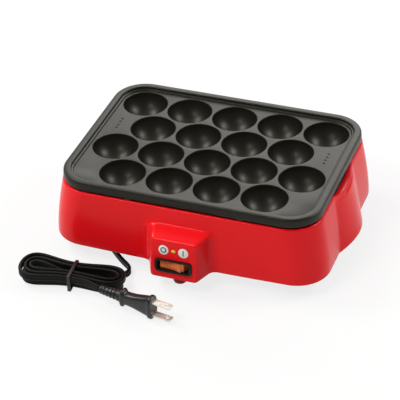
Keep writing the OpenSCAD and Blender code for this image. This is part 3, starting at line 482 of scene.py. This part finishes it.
def startTree(name, *sockets):
    # a group that takes a geometry and the named inputs, and gives a geometry
    tree = bpy.data.node_groups.new(name, "GeometryNodeTree")
    for label, kind in (("Geometry", "Geometry"),) + sockets + (("Finish", "Material"),):
        tree.interface.new_socket(name=label, in_out="INPUT", socket_type="NodeSocket" + kind)
    tree.interface.new_socket(name="Geometry", in_out="OUTPUT", socket_type="NodeSocketGeometry")
    return tree, addNode(tree, "NodeGroupInput").outputs


def endTree(tree, got, copies, *others):
    # the copies become real, join the others, and take the finish
    real = addNode(tree, "GeometryNodeRealizeInstances", {"Geometry": copies}).outputs[0]
    whole = addNode(tree, "GeometryNodeJoinGeometry", {"Geometry": [real, *others]})
    coated = addNode(tree, "GeometryNodeSetMaterial", {
        "Geometry": whole.outputs[0], "Material": got["Finish"]})
    addNode(tree, "NodeGroupOutput", {"Geometry": coated.outputs[0]})
    return tree


def runTree(piece, tree, values):
    grown = piece.modifiers.new(tree.name, "NODES")
    grown.node_group = tree
    for item in tree.interface.items_tree:
        if item.in_out == "INPUT" and item.name in values:
            grown[item.identifier] = values[item.name]
    return piece


def ribTree():
    # ribs at equal steps along +Z, growing or shrinking from the first to the last
    tree, got = startTree("reliefRibs", ("Count", "Int"), ("First", "Float"), ("Step", "Float"),
                          ("First Radius", "Float"), ("Last Radius", "Float"), ("Width", "Float"))
    start = addNode(tree, "ShaderNodeCombineXYZ", {"Z": got["First"]}).outputs[0]
    step = addNode(tree, "ShaderNodeCombineXYZ", {"Z": got["Step"]}).outputs[0]
    line = addNode(tree, "GeometryNodeMeshLine", {
        "Count": got["Count"], "Start Location": start, "Offset": step})
    last = addNode(tree, "ShaderNodeMath", {0: got["Count"], 1: 1.0}, operation="SUBTRACT").outputs[0]
    index = addNode(tree, "GeometryNodeInputIndex").outputs[0]
    share = addNode(tree, "ShaderNodeMath", {0: index, 1: last}, operation="DIVIDE").outputs[0]
    radius = addNode(tree, "ShaderNodeMapRange", {
        "Value": share, "To Min": got["First Radius"], "To Max": got["Last Radius"]}).outputs[0]
    size = addNode(tree, "ShaderNodeCombineXYZ", {"X": radius, "Y": radius, "Z": got["Width"]})
    disc = addNode(tree, "GeometryNodeMeshCylinder", {
        "Vertices": 40, "Side Segments": 1, "Radius": 1.0, "Depth": 1.0})
    ribs = addNode(tree, "GeometryNodeInstanceOnPoints", {
        "Points": line.outputs[0], "Instance": disc.outputs[0], "Scale": size.outputs[0]})
    return endTree(tree, got, ribs.outputs[0], got["Geometry"])


reliefRibs = ribTree()
# cores are radius and height pairs; the ribs' radii are those of the first and of the last
bushShape = dict(core=[(0.01, -4), (4.2, -4), (4.2, 0), (5.2, 0), (5.35, 0.3), (5.35, 1.6), (5.1, 2),
                       (4.2, 2.2), (3.2, 22.2), (3.6, 22.5), (3.9, 22.9), (3.9, 23.6), (3.6, 24),
                       (0.01, 24)], count=6, first=3.9, step=3.5, radii=(4.75, 4.0), width=1.7)
reliefShape = dict(core=[(0.01, 0), (3.4, 0), (3.75, 0.3), (3.8, 1.8), (3.2, 2.2), (4.1, 18.3),
                         (4.9, 18.8), (5, 19.3), (5, 21), (0.01, 21)], count=5, first=4.0, step=3.5,
                   radii=(4.0, 4.75), width=1.8)
ribEdge = dict(width=0.3, segments=2, angle=50)


def makeRibbed(name, shape, frameAt, node):
    piece = spun(name, shape["core"])
    runTree(piece, reliefRibs, {
        "Count": shape["count"], "First": shape["first"] * mm, "Step": shape["step"] * mm,
        "First Radius": shape["radii"][0] * mm, "Last Radius": shape["radii"][1] * mm,
        "Width": shape["width"] * mm, "Finish": plugPvc})
    settle(rounded(settle(piece), **ribEdge), 40)
    piece.data.transform(frameAt)
    return dressed(piece, plugPvc, "base", "cord", node)


bushFrame = axisFrame(cordShape["face"], cordShape["heading"], cordShape["pitch"])
plugFrame = axisFrame(plugSeat["place"], plugSeat["heading"], 0)
cordBushing = makeRibbed("cordBushing", bushShape, bushFrame, "cord_bushing")
plugRelief = makeRibbed("plugRelief", reliefShape, plugFrame, "plug_relief")

# the moulded plug by half height, half width and place along it: a lump behind the fingers, a waist
# that spreads, and a chamfered flange
plugShape = dict(
    power=3.2, sharp=42,
    rings=[(6.4, 4.2, 21.0), (7.6, 5.1, 21.3), (8.2, 5.45, 22.0), (8.25, 5.5, 22.8), (8.0, 5.35, 23.6),
           (7.0, 5.0, 24.3), (5.9, 4.7, 25.0), (5.55, 4.6, 26.0), (5.6, 4.6, 28.0), (5.8, 4.65, 31.0),
           (6.3, 4.8, 34.5), (7.1, 4.9, 38.0), (8.1, 4.95, 42.0), (9.1, 5.0, 45.8), (9.6, 5.05, 47.3),
           (9.9, 5.2, 47.9), (10.5, 6.0, 48.5), (10.75, 6.25, 49.1), (10.75, 6.25, 51.0),
           (10.6, 6.1, 51.6), (10.2, 5.7, 52.0)])


def makePlugBody():
    rings = [[(x, y, z) for x, y in squircle(high, wide, plugShape["power"])]
             for high, wide, z in plugShape["rings"]]
    piece = settle(solidOf("plugBody", rings), plugShape["sharp"])
    piece.data.transform(plugFrame)
    return dressed(piece, plugPvc, "base", "cord", "plug_body")


plugBody = makePlugBody()
plugBlades = softCopy("plugBlades", "plug_blades", 0.3, 3, nickel, "blade")
cordTie = softCopy("cordTie", "cord_tie", 0.3, 3, plugPvc, "black_plastic")
print("cord and plug made")


# ---- plate: a cast rim, a floor with eighteen holes and a bowl in each ----
plateShape = dict(
    w=232.0, d=172.0, r=29.0, floor=75.4, under=71.2, pitch=42.6, wellD=40.0, wellDepth=18.0, wall=2.0,
    # the rim from its underside over the top to the floor, as inset and height
    rim=[(9.0, 71.2), (9.0, 70.8), (1.2, 70.8), (0.5, 70.95), (0.1, 71.4), (0.0, 72.0), (0.35, 77.3),
         (0.6, 78.1), (1.1, 78.6), (1.8, 78.85), (2.4, 78.9), (5.9, 78.9), (6.4, 78.8), (6.75, 78.5),
         (6.95, 78.0), (7.0, 77.3), (7.15, 76.9), (7.5, 76.7), (8.2, 76.7), (8.6, 76.6), (8.9, 76.3),
         (9.0, 75.9), (9.1, 75.55), (9.3, 75.4)],
    # a well's mouth as radius and height, then its inside and outside by the angle from its bottom
    lip=[(20.75, 75.4), (20.5, 75.38), (20.28, 75.3), (20.12, 75.16), (20.0, 74.95), (19.93, 74.6)],
    inside=(76, 70, 62, 54, 46, 38, 30, 22, 15, 8, 3), outside=(68, 60, 50, 40, 30, 20, 12, 5),
    around=72, sharp=38)
# the wells of each row from the front, and in row steps the middle and the gap between like rows
rows = dict(counts=(4, 5, 4, 5), middle=1.5, gap=2.0, slant=60)
wellR = ((plateShape["wellD"] / 2) ** 2 + plateShape["wellDepth"] ** 2) / (2 * plateShape["wellDepth"])
wellZ = plateShape["floor"] - plateShape["wellDepth"] + wellR
rowPitch = plateShape["pitch"] * sin(radians(rows["slant"]))
circle = [(cos(2 * pi * k / plateShape["around"]), sin(2 * pi * k / plateShape["around"]))
          for k in range(plateShape["around"])]


def wellPlaces():
    return [((i - (count - 1) / 2) * plateShape["pitch"],
             (row - rows["middle"]) * rowPitch + seat["midY"])
            for row, count in enumerate(rows["counts"]) for i in range(count)]


def holedFloor(rim, radius, z):
    # a flat face inside the rim with a round hole for each well, filled between the loops
    bm = bmesh.new()
    edges = []
    holes = [[(x + radius * u, y + radius * v, z) for u, v in circle] for x, y in wellPlaces()]
    for loop in [rim] + holes:
        made = [bm.verts.new([c * mm for c in p]) for p in loop]
        edges += [bm.edges.new((a, b)) for a, b in zip(made, made[1:] + made[:1])]
    bmesh.ops.triangle_fill(bm, use_beauty=True, use_dissolve=False, edges=edges)
    return pieceFrom("plateFloor", bm)


def wellTree():
    # the two short rows and the two long rows, with a bowl on every point
    tree, got = startTree("wellRows", ("Bowl", "Object"), ("Pitch", "Float"), ("Row Pitch", "Float"),
                          ("Middle", "Float"))
    bowl = addNode(tree, "GeometryNodeObjectInfo", {"Object": got["Bowl"]}).outputs["Geometry"]
    likeRow = addNode(tree, "ShaderNodeMath", {0: got["Row Pitch"], 1: rows["gap"]},
                      operation="MULTIPLY").outputs[0]
    pairs = []
    for row, count in enumerate(rows["counts"][:2]):
        left = addNode(tree, "ShaderNodeMath", {0: got["Pitch"], 1: -(count - 1) / 2},
                       operation="MULTIPLY").outputs[0]
        near = addNode(tree, "ShaderNodeMath", {
            0: got["Row Pitch"], 1: row - rows["middle"], 2: got["Middle"]},
            operation="MULTIPLY_ADD").outputs[0]
        across = addNode(tree, "GeometryNodeMeshLine", {
            "Count": count,
            "Start Location": addNode(tree, "ShaderNodeCombineXYZ", {"X": left}).outputs[0],
            "Offset": addNode(tree, "ShaderNodeCombineXYZ", {"X": got["Pitch"]}).outputs[0]})
        deep = addNode(tree, "GeometryNodeMeshLine", {
            "Count": 2,
            "Start Location": addNode(tree, "ShaderNodeCombineXYZ", {"Y": near}).outputs[0],
            "Offset": addNode(tree, "ShaderNodeCombineXYZ", {"Y": likeRow}).outputs[0]})
        pair = addNode(tree, "GeometryNodeInstanceOnPoints", {
            "Points": deep.outputs[0], "Instance": across.outputs[0]})
        real = addNode(tree, "GeometryNodeRealizeInstances", {"Geometry": pair.outputs[0]})
        pairs.append(real.outputs[0])
    points = addNode(tree, "GeometryNodeJoinGeometry", {"Geometry": pairs}).outputs[0]
    bowls = addNode(tree, "GeometryNodeInstanceOnPoints", {"Points": points, "Instance": bowl})
    return endTree(tree, got, bowls.outputs[0], got["Geometry"])


def makePlate():
    s = plateShape
    outerR = wellR + s["wall"]
    top = sqrt(outerR ** 2 - (wellZ - s["under"]) ** 2)
    inside = s["lip"] + [(wellR * sin(a), wellZ - wellR * cos(a)) for a in map(radians, s["inside"])]
    outside = [(top, s["under"])] + [(outerR * sin(a), wellZ - outerR * cos(a))
                                     for a in map(radians, s["outside"])]
    bowlParts = []
    for label, profile in (("bowlInside", inside), ("bowlOutside", outside)):
        rings = [[(r * x, r * y, z) for x, y in circle] for r, z in profile]
        bowlParts.append(newPiece(label, *ringSkin(rings, caps=(False, True))))
    bowl = joined("bowl", bowlParts)
    rim = [roundedRing(s["w"] - 2 * i, s["d"] - 2 * i, s["r"] - i, z, seat["midY"])
           for i, z in s["rim"]]
    plate = joined("castPlate", [newPiece("plateRim", *ringSkin(rim)),
                                 holedFloor(rim[-1], s["lip"][0][0], s["floor"]),
                                 holedFloor(rim[0], top, s["under"])])
    runTree(plate, wellTree(), {"Bowl": bowl, "Pitch": s["pitch"] * mm, "Row Pitch": rowPitch * mm,
                                "Middle": seat["midY"] * mm, "Finish": coating})
    settle(plate)
    bpy.data.objects.remove(bowl)
    cleaned(plate, gap=0.01)
    plate.data.shade_smooth()
    plate.data.set_sharp_from_angle(angle=radians(s["sharp"]))
    return dressed(plate, coating, "plate", "plate", "griddle_plate")


castPlate = makePlate()
print("plate made", len(castPlate.data.polygons))


# ---- body: one moulded skin that swells into the switch box and the two grips ----
bodyShape = dict(
    w=247.2, d=177.6, r=30.0, bow=1.4, h=54.0, wall=2.5, leastR=3,  # at the lower edge
    topW=232.8, topD=172.8, topR=29.0, flare=1.6,
    boxOut=18.3, boxLean=4.0, boxH=37.0, boxLow=13.6, boxHalf=21.0, boxDrop=1.4, boxEase=0.7,
    gripW=64.0, gripOut=9.4, gripTop=3.6, gripRise=3.4, gripDraft=5.0, gripFade=1.2, edgeFade=10.0,
    notch=6.0, notchPower=0.8, notchFrom=9.0, notchTo=1.0,
    # levels and insets of the skin's rings, from the lower edge over the shoulder to the inside
    edge=[(15.0, 0.9), (15.1, 0.35), (15.5, 0.08), (16.2, 0.0)],
    skin=[18, 21, 25, 30, 35, 39, 42, 44.5, 46.5, 47.6, 48.2, 48.8, 49.4, 50.0, 50.6, 51.2, 51.8,
          52.4, 53.0, 53.6, 54.2, 54.8, 55.6, 56.6, 58, 59.5, 61, 62.5, 64, 65.4, 66.6, 67.5],
    turnFrom=67.6, turnUp=1.4, turnIn=1.3, turns=(20, 40, 60, 78),
    lip=[(69.0, 1.5), (69.0, 2.2), (68.7, 2.5)], ledge=[(62.4, 2.5), (62.4, 4.7), (60.0, 4.7)],
    inside=[57.4, 54, 51, 48, 44, 35, 25, 20, 16], foot=[(15.2, 2.3), (15.0, 1.8)], sharp=42)
panel = dict(switchUp=12.6, window=(29.6, 12, 10.8), marksUp=27.2, lensHole=(2.2, 12, 2.2))
lean = atan(bodyShape["boxLean"] / bodyShape["boxH"])
frontY = -bodyShape["d"] / 2 - bodyShape["bow"] - bodyShape["boxOut"]
boxTop = bodyShape["boxLow"] + bodyShape["boxH"]
# the share of the box's reach by the distance from its middle and by the level
boxAcross = [(0, 1), (18, 1), (20, 0.975), (21.3, 0.9), (27.3, 0.17), (29.5, 0.06), (33.5, 0)]
boxUp = [(boxTop - 2, 1), (boxTop - 0.5, 0.93), (boxTop + 0.6, 0.8), (boxTop + 3.4, 0.06),
         (boxTop + 5.8, 0)]
# stops along a quarter of the outline: the long side by x, the corner by angle, the short side by y
longStops = [0, 5, 10, 14, 15.5] + [16 + 0.75 * k for k in range(26)] + [37, 42, 48, 54, 60, 68, 76, 84]
quarter = ([("long", x) for x in longStops] + [("corner", 90 * k / 16) for k in range(17)]
           + [("short", y) for y in range(52, -1, -2)])
crowd = dict(step=0.01, gap=0.02, longEnd=85, shortEnd=53)


def outlineSamples():
    samples = []
    for sx, sy, order in ((1, -1, 1), (1, 1, -1), (-1, 1, 1), (-1, -1, -1)):
        samples += [(kind, place, sx, sy) for kind, place in quarter[::order][:-1]]
    return samples


def outlinePoint(sample, w, d, r, bow=0.0):
    # stops that would lie past the corner's start are crowded just before it, in their order
    kind, place, sx, sy = sample
    gap, step = crowd["gap"], crowd["step"]
    if kind == "long":
        x = min(place, w / 2 - r - step * (crowd["longEnd"] - place) - gap)
        t = x / (w / 2 - r)
        p = (x, -d / 2 - bow * (1 - t * t))
    elif kind == "corner":
        p = (w / 2 - r + r * sin(radians(place)), -d / 2 + r - r * cos(radians(place)))
    else:
        p = (w / 2, -min(place, d / 2 - r - step * (crowd["shortEnd"] - place) - gap))
    return p[0] * sx, -p[1] * sy


def notchShare(kind, y):
    # 1 in the middle of the finger notch of a short side, 0 past its ends
    s = bodyShape
    if kind != "short":
        return 0.0
    return max(0.0, 1 - (y / (s["gripW"] / 2 - s["gripDraft"])) ** 2) ** s["notchPower"]


def skinPoint(sample, level, inset):
    # the outline narrows upwards, swells into the box or a grip, and dips at the notches
    s = bodyShape
    kind, _, sx, sy = sample
    up = max(0.0, min(1.0, (level - seat["edgeZ"]) / s["h"]))
    flare = up ** s["flare"]
    w = s["w"] + (s["topW"] - s["w"]) * flare
    d = s["d"] + (s["topD"] - s["d"]) * flare
    r = s["r"] + (s["topR"] - s["r"]) * flare
    x, y = outlinePoint(sample, w - 2 * inset, d - 2 * inset, max(r - inset, s["leastR"]),
                        s["bow"] * (1 - up))
    box = 0.0
    if kind == "long" and sy < 0:
        reach = abs(x) * (s["boxHalf"] + inset) / s["boxHalf"]
        box = eased(reach, boxAcross, s["boxEase"]) * eased(level + inset, boxUp, s["boxEase"])
    share = max(0.0, 1 - (y / (s["gripW"] / 2 - s["gripDraft"] * up)) ** 2) if kind == "short" else 0.0
    grip = share * (s["gripTop"] + (s["gripOut"] - s["gripTop"]) * (1 - up) ** s["gripFade"])
    fade = max(0.0, 1 - (level - seat["edgeZ"]) / s["edgeFade"])
    drop = fade * (s["gripRise"] * share - s["boxDrop"] * box)
    near = smoothStep(level, seat["shoulderZ"] - s["notchFrom"], seat["shoulderZ"] - s["notchTo"])
    dip = s["notch"] * notchShare(kind, y) * near
    face = s["boxOut"] - s["boxLean"] * (level - s["boxLow"]) / s["boxH"]
    depth = face + (s["d"] - d) / 2 + s["bow"] * up
    return (x + sx * grip, y - box * depth + seat["midY"], level + drop - dip)


def flatPoint(sample, z, inset, dips):
    s = bodyShape
    x, y = outlinePoint(sample, s["topW"] - 2 * inset, s["topD"] - 2 * inset, s["topR"] - inset)
    return (x, y + seat["midY"], z - dips * notchShare(sample[0], y))


def panelFrame(up):
    # the box's front face: local +Y runs into the box, +Z up the face
    turn = Matrix.Rotation(-lean, 4, "X")
    base = Matrix.Translation(Vector((0, frontY + seat["midY"], bodyShape["boxLow"])) * mm)
    return base @ turn @ Matrix.Translation((0, 0, up * mm))


def makeBody():
    s = bodyShape
    samples = outlineSamples()
    outer = s["edge"] + [(z, 0.0) for z in s["skin"]]
    outer += [(s["turnFrom"] + s["turnUp"] * sin(radians(a)), s["turnIn"] * (1 - cos(radians(a))))
              for a in s["turns"]]
    rings = [[skinPoint(q, z, inset) for q in samples] for z, inset in outer]
    rings += [[flatPoint(q, z, inset, s["notch"]) for q in samples] for z, inset in s["lip"]]
    rings += [[flatPoint(q, z, inset, 0) for q in samples] for z, inset in s["ledge"]]
    inner = [(z, s["wall"]) for z in s["inside"]] + s["foot"]
    rings += [[skinPoint(q, z, inset) for q in samples] for z, inset in inner]
    shell = cleaned(newPiece("bodyShell", *ringSkin(rings, closed=True)))
    cutWith(shell, [boxCutter("switchWindow", panel["window"], panelFrame(panel["switchUp"])),
                    boxCutter("lensHole", panel["lensHole"], panelFrame(panel["marksUp"]))], s["sharp"])
    return dressed(shell, shellRed, "base", "red_shell", "body_shell")


bodyShell = makeBody()
print("body made", len(bodyShell.data.polygons))

# the base cover and its legs take the darker red, which is painted shade under the body
softCopy("baseCover", "base_cover", 0.4, 2, shadedBaseRed, "red_base")
softCopy("footPads", "foot_pads", 0.25, 2, rubber, "rubber")

# the bezel from its back over the front into its cavity, as width, height, corner and depth
bezelShape = dict(
    corner=8, sharp=32,
    rings=[(29.4, 10.6, 0.8, 16.0), (29.4, 10.6, 0.8, 0.0), (32.6, 12.0, 2.8, 0.0),
           (33.0, 12.4, 3.0, -0.3), (33.0, 12.4, 3.0, -1.1), (32.7, 12.1, 2.9, -1.45),
           (32.0, 11.4, 2.7, -1.6), (29.0, 9.8, 2.2, -1.6), (28.2, 9.0, 1.9, -1.45),
           (27.7, 8.5, 1.6, -1.0), (27.6, 8.4, 1.4, 1.0), (27.6, 8.4, 1.2, 14.2)])


def makeBezel():
    s = bezelShape
    rings = [[(p[0], y, p[1]) for p in roundedRing(w, h, r, 0, 0, s["corner"])]
             for w, h, r, y in s["rings"]]
    bezel = solidOf("switchBezel", rings)
    bezel.data.transform(panelFrame(panel["switchUp"]))
    dressed(settle(bezel, s["sharp"]), blackAbs, "base", "black_plastic", "switch_body")


makeBezel()
rockerShape = dict(pivot=5.2, rest=-11.0, half=12.5, middle=4.6, end=6.13, hollow=1.6, height=7.8,
                   stops=(0, 1.5, 3, 4.5, 6, 7.5), low=(11.7, 1.5), stem=((1.5, 2.4), (1.5, 4.5)),
                   thumb=3.2, heel=1.0, edge=0.7, pin=1.2, pinLength=10.2)


def makeRocker():
    # its plan is a shallow V that stands on a short stem; the end that stands out is the rounder one
    s = rockerShape
    out, low = Vector((s["half"], -s["end"])), Vector(s["low"])
    rise = s["end"] - s["middle"]
    face = [Vector((x, -s["middle"] - rise * (x / s["half"]) ** s["hollow"])) for x in s["stops"]]
    foot = [low] + [Vector(p) for p in s["stem"]]
    right = face + filleted(face[-1], out, low, s["thumb"]) + foot
    left = face[1:] + filleted(face[-1], out, low, s["heel"]) + foot
    plan = right + [Vector((-p.x, p.y)) for p in reversed(left)]
    rings = [[(p.x, p.y, z) for p in plan] for z in (-s["height"] / 2, s["height"] / 2)]
    key = settle(rounded(solidOf("rockerKey", rings), s["edge"], segments=4, angle=40), 40)
    pin = spun("rockerPin", [(s["pin"], -s["pinLength"] / 2), (s["pin"], s["pinLength"] / 2)], 24)
    piece = joined("switchRocker", [key, pin])
    piece.data.transform(panelFrame(panel["switchUp"]) @ Matrix.Translation((0, s["pivot"] * mm, 0))
                         @ Matrix.Rotation(radians(s["rest"]), 4, "Z"))
    dressed(settle(piece, 40), amber, "switch_rocker", "amber", "rocker")


makeRocker()
# the lens from its round stem to its oval dome, as half width, half height and depth
lensShape = dict(power=2.2, around=32, sharp=45,
                 rings=[(1.0, 1.0, 3.4), (1.0, 1.0, 0.0), (2.0, 1.3, 0.0), (2.0, 1.3, -0.2),
                        (1.9, 1.2, -0.38), (1.6, 0.95, -0.52), (1.0, 0.55, -0.6)])


def makeLens():
    s = lensShape
    rings = [[(x, y, z) for x, z in squircle(wide, high, s["power"], s["around"])]
             for wide, high, y in s["rings"]]
    piece = settle(solidOf("lampLens", rings), s["sharp"])
    piece.data.transform(panelFrame(panel["marksUp"]))
    dressed(piece, acrylic, "base", "lens", "indicator_lens")


makeLens()
softCopy("markDiscs", "mark_discs", 0.15, 2, discPrint, "disc")
softCopy("markSigns", "mark_signs", 0.05, 2, signPrint, "black_mark")
print("base and switch made")


# ---- screws: a pan head with a cross recess on every boss; pips at both ends of the short rows ----
def spotTree():
    # one copy of a small piece on every point it is given
    tree, got = startTree("spotPieces", ("Piece", "Object"), ("Turn", "Vector"), ("Size", "Float"))
    one = addNode(tree, "GeometryNodeObjectInfo", {"Object": got["Piece"]}).outputs["Geometry"]
    turn = addNode(tree, "FunctionNodeEulerToRotation", {0: got["Turn"]}).outputs[0]
    spots = addNode(tree, "GeometryNodeInstanceOnPoints", {
        "Points": got["Geometry"], "Instance": one, "Rotation": turn, "Scale": got["Size"]})
    return endTree(tree, got, spots.outputs[0])


spotPieces = spotTree()
screwShape = dict(bossX=98.0, bossY=34.0, headR=2.8, headH=1.6, slot=(1.3, 0.26), turn=0.4,
                  head=[(1, 0), (1, 0.45), (0.9, 0.75), (0.62, 0.95), (0.3, 1)],  # shares of both
                  shankR=1.5, shankTop=0.05, tipR=0.3, tip=1, steps=24)
pipShape = dict(x=96.0, y=18.45, step=5.0, count=4, under=0.2, radius=1.1, height=0.45,
                dome=[(1, 0.5), (0.8, 0.85), (0.4, 1)])


def scattered(name, one, places, turn, finish, sharp):
    piece = newPiece(name, places, [])
    runTree(piece, spotPieces, {"Piece": one, "Turn": turn, "Size": 1.0, "Finish": finish})
    settle(piece, sharp)
    bpy.data.objects.remove(one)
    return piece


def crossHead(name):
    s = screwShape
    r, h = s["headR"], s["headH"]
    long, wide = (r * share for share in s["slot"])
    head = spun(name, [(r * a, h * b) for a, b in s["head"]], s["steps"])
    top = Matrix.Translation((0, 0, h * mm))
    cross = [boxCutter(name + "Slot", size, top) for size in ((long, wide, h), (wide, long, h))]
    return cutWith(head, cross)


def makeScrews(name, node, level, shank, down):
    s = screwShape
    rod = spun(name + "Rod", [(s["shankR"], s["shankTop"]), (s["shankR"], -shank + s["tip"]),
                              (s["tipR"], -shank)], 20)
    one = joined(name + "One", [crossHead(name + "Head"), rod])
    places = [(i * s["bossX"], j * s["bossY"] + seat["midY"], level) for i in (-1, 1) for j in (-1, 1)]
    piece = scattered(name, one, places, (pi if down else 0.0, 0.0, s["turn"]), zinc, 30)
    dressed(piece, zinc, "base", "screw_steel", node)


def makePips():
    # plain pips stand where a maker would put a mark
    s = pipShape
    one = spun("pipOne", [(s["radius"], -s["under"])]
               + [(s["radius"] * a, s["height"] * b) for a, b in s["dome"]], 24)
    places = [(side * s["x"], s["y"] + (k - (s["count"] - 1) / 2) * s["step"] + seat["midY"],
               plateShape["floor"]) for side in (-1, 1) for k in range(s["count"])]
    piece = scattered("platePips", one, places, (0.0, 0.0, 0.0), coating, 40)
    dressed(piece, coating, "plate", "plate")


makeScrews("baseScrews", "base_screws", level=16.2, shank=8.4, down=True)
makeScrews("trayScrews", "tray_screws", level=36.8, shank=8.0, down=False)
makePips()
print("screws and pips made")

# ---- the rest of the drawn pieces keep their shapes and get their finishes ----
drawnFinishes = dict(
    heat_tray=traySteel, plate_rests=steatite, heating_element=sheath, element_bushes=steatite,
    element_clips=traySteel, element_tabs=nickel, thermostat=phenolic, thermostat_bracket=traySteel,
    bracket_screws=zinc, thermal_fuse=steatite, fuse_clip=traySteel, contact_lever=bronze,
    switch_terminals=nickel, indicator_lamp=acrylic, internal_leads=sleeve, cord_clamp=blackAbs,
    clamp_screws=zinc)
for node, finish in drawnFinishes.items():
    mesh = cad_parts[node].data
    mesh.materials.clear()
    mesh.materials.append(finish)


# ---- floor, lamps and world ----
studio = dict(world=0.26, roomY=-0.2, backdropY=0.5, floor=9000, floorZ=-0.2, paper="#d0d0ce",
              floorWhite=0.8)
lampAim = Vector((0, 0, 0.04))
# places and sizes in metres, power in watts. back: the sheen across the plate's flat; right and left:
# the two small lights low in every well; edge: a thin line on the box's upper edge; the fill is the
# light that the room throws on the front
lamps = dict(backSoftbox=dict(place=(-0.15, 1.5, 1.1), wide=1.3, high=0.8, power=13),
             rightSoftbox=dict(place=(1.15, 0.72, 1.2), wide=0.7, high=0.5, power=16),
             leftSoftbox=dict(place=(-1.11, 0.04, 1.58), wide=0.7, high=0.5, power=20),
             edgeSoftbox=dict(place=(-0.58, -1.14, 1.56), wide=0.5, high=0.14, power=7),
             frontFill=dict(place=(-0.9, -1.2, 2.2), wide=1.0, high=1.0, power=31, mirrored=False))


def makeLamp(name, place, wide, high, power, mirrored=True):
    data = bpy.data.lights.new(name, "AREA")
    data.shape, data.size, data.size_y, data.energy = "RECTANGLE", wide, high, power
    lamp = placed(name, data)
    lamp.location = place
    lamp.rotation_euler = (Vector(place) - lampAim).to_track_quat("Z", "Y").to_euler()
    lamp.visible_glossy = mirrored


for name, values in lamps.items():
    makeLamp(name, **values)


def seenRays(tree):
    # two masks: what the camera sees itself, and what it sees in a reflection or through clear plastic
    rays = addNode(tree, "ShaderNodeLightPath").outputs
    mirrored = addNode(tree, "ShaderNodeMath", {
        0: rays["Is Glossy Ray"], 1: rays["Is Transmission Ray"]}, operation="MAXIMUM")
    return rays["Is Camera Ray"], mirrored.outputs[0]


def makeFloor():
    # matt paper under the object: the camera sees it nearly white, and its shadow stays
    half, z = studio["floor"], studio["floorZ"]
    corners = [(-half, -half, z), (half, -half, z), (half, half, z), (-half, half, z)]
    floor = newPiece("studioFloor", corners, [(0, 1, 2, 3)])
    material = bpy.data.materials.new("paintedSweep")
    material.use_nodes = True
    tree = material.node_tree
    tree.nodes.clear()
    paper = addNode(tree, "ShaderNodeBsdfDiffuse", {"Color": linearColour(studio["paper"])})
    white = addNode(tree, "ShaderNodeEmission", {"Color": (1, 1, 1, 1), "Strength": 1.0})
    looked, mirrored = seenRays(tree)
    either = addNode(tree, "ShaderNodeMath", {0: looked, 1: mirrored}, operation="MAXIMUM")
    seen = addNode(tree, "ShaderNodeMath", {0: either.outputs[0], 1: studio["floorWhite"]},
                   operation="MULTIPLY")
    mixed = addNode(tree, "ShaderNodeMixShader", {
        0: seen.outputs[0], 1: paper.outputs[0], 2: white.outputs[0]})
    addNode(tree, "ShaderNodeOutputMaterial", {"Surface": mixed.outputs[0]})
    floor.data.materials.append(material)


def makeWorld():
    # the white backdrop stands behind the object; what mirrors the camera's side sees the dim room
    world = bpy.data.worlds.new("studio")
    bpy.context.scene.world = world
    world.use_nodes = True
    tree = world.node_tree
    tree.nodes.clear()
    looked, mirrored = seenRays(tree)
    way = addNode(tree, "ShaderNodeSeparateXYZ", {
        0: addNode(tree, "ShaderNodeTexCoord").outputs["Generated"]})
    behind = addNode(tree, "ShaderNodeMapRange", {
        "Value": way.outputs["Y"], "From Min": studio["roomY"], "From Max": studio["backdropY"]})
    backdrop = addNode(tree, "ShaderNodeMath", {
        0: mirrored, 1: behind.outputs[0]}, operation="MULTIPLY")
    seen = addNode(tree, "ShaderNodeMath", {0: looked, 1: backdrop.outputs[0]}, operation="MAXIMUM")
    strength = addNode(tree, "ShaderNodeMapRange", {
        "Value": seen.outputs[0], "To Min": studio["world"], "To Max": 1.0})
    back = addNode(tree, "ShaderNodeBackground", {
        "Color": (1, 1, 1, 1), "Strength": strength.outputs[0]})
    addNode(tree, "ShaderNodeOutputWorld", {"Surface": back.outputs[0]})


makeFloor()
makeWorld()
bpy.context.scene.view_settings.view_transform = "Standard"
print("studio made")
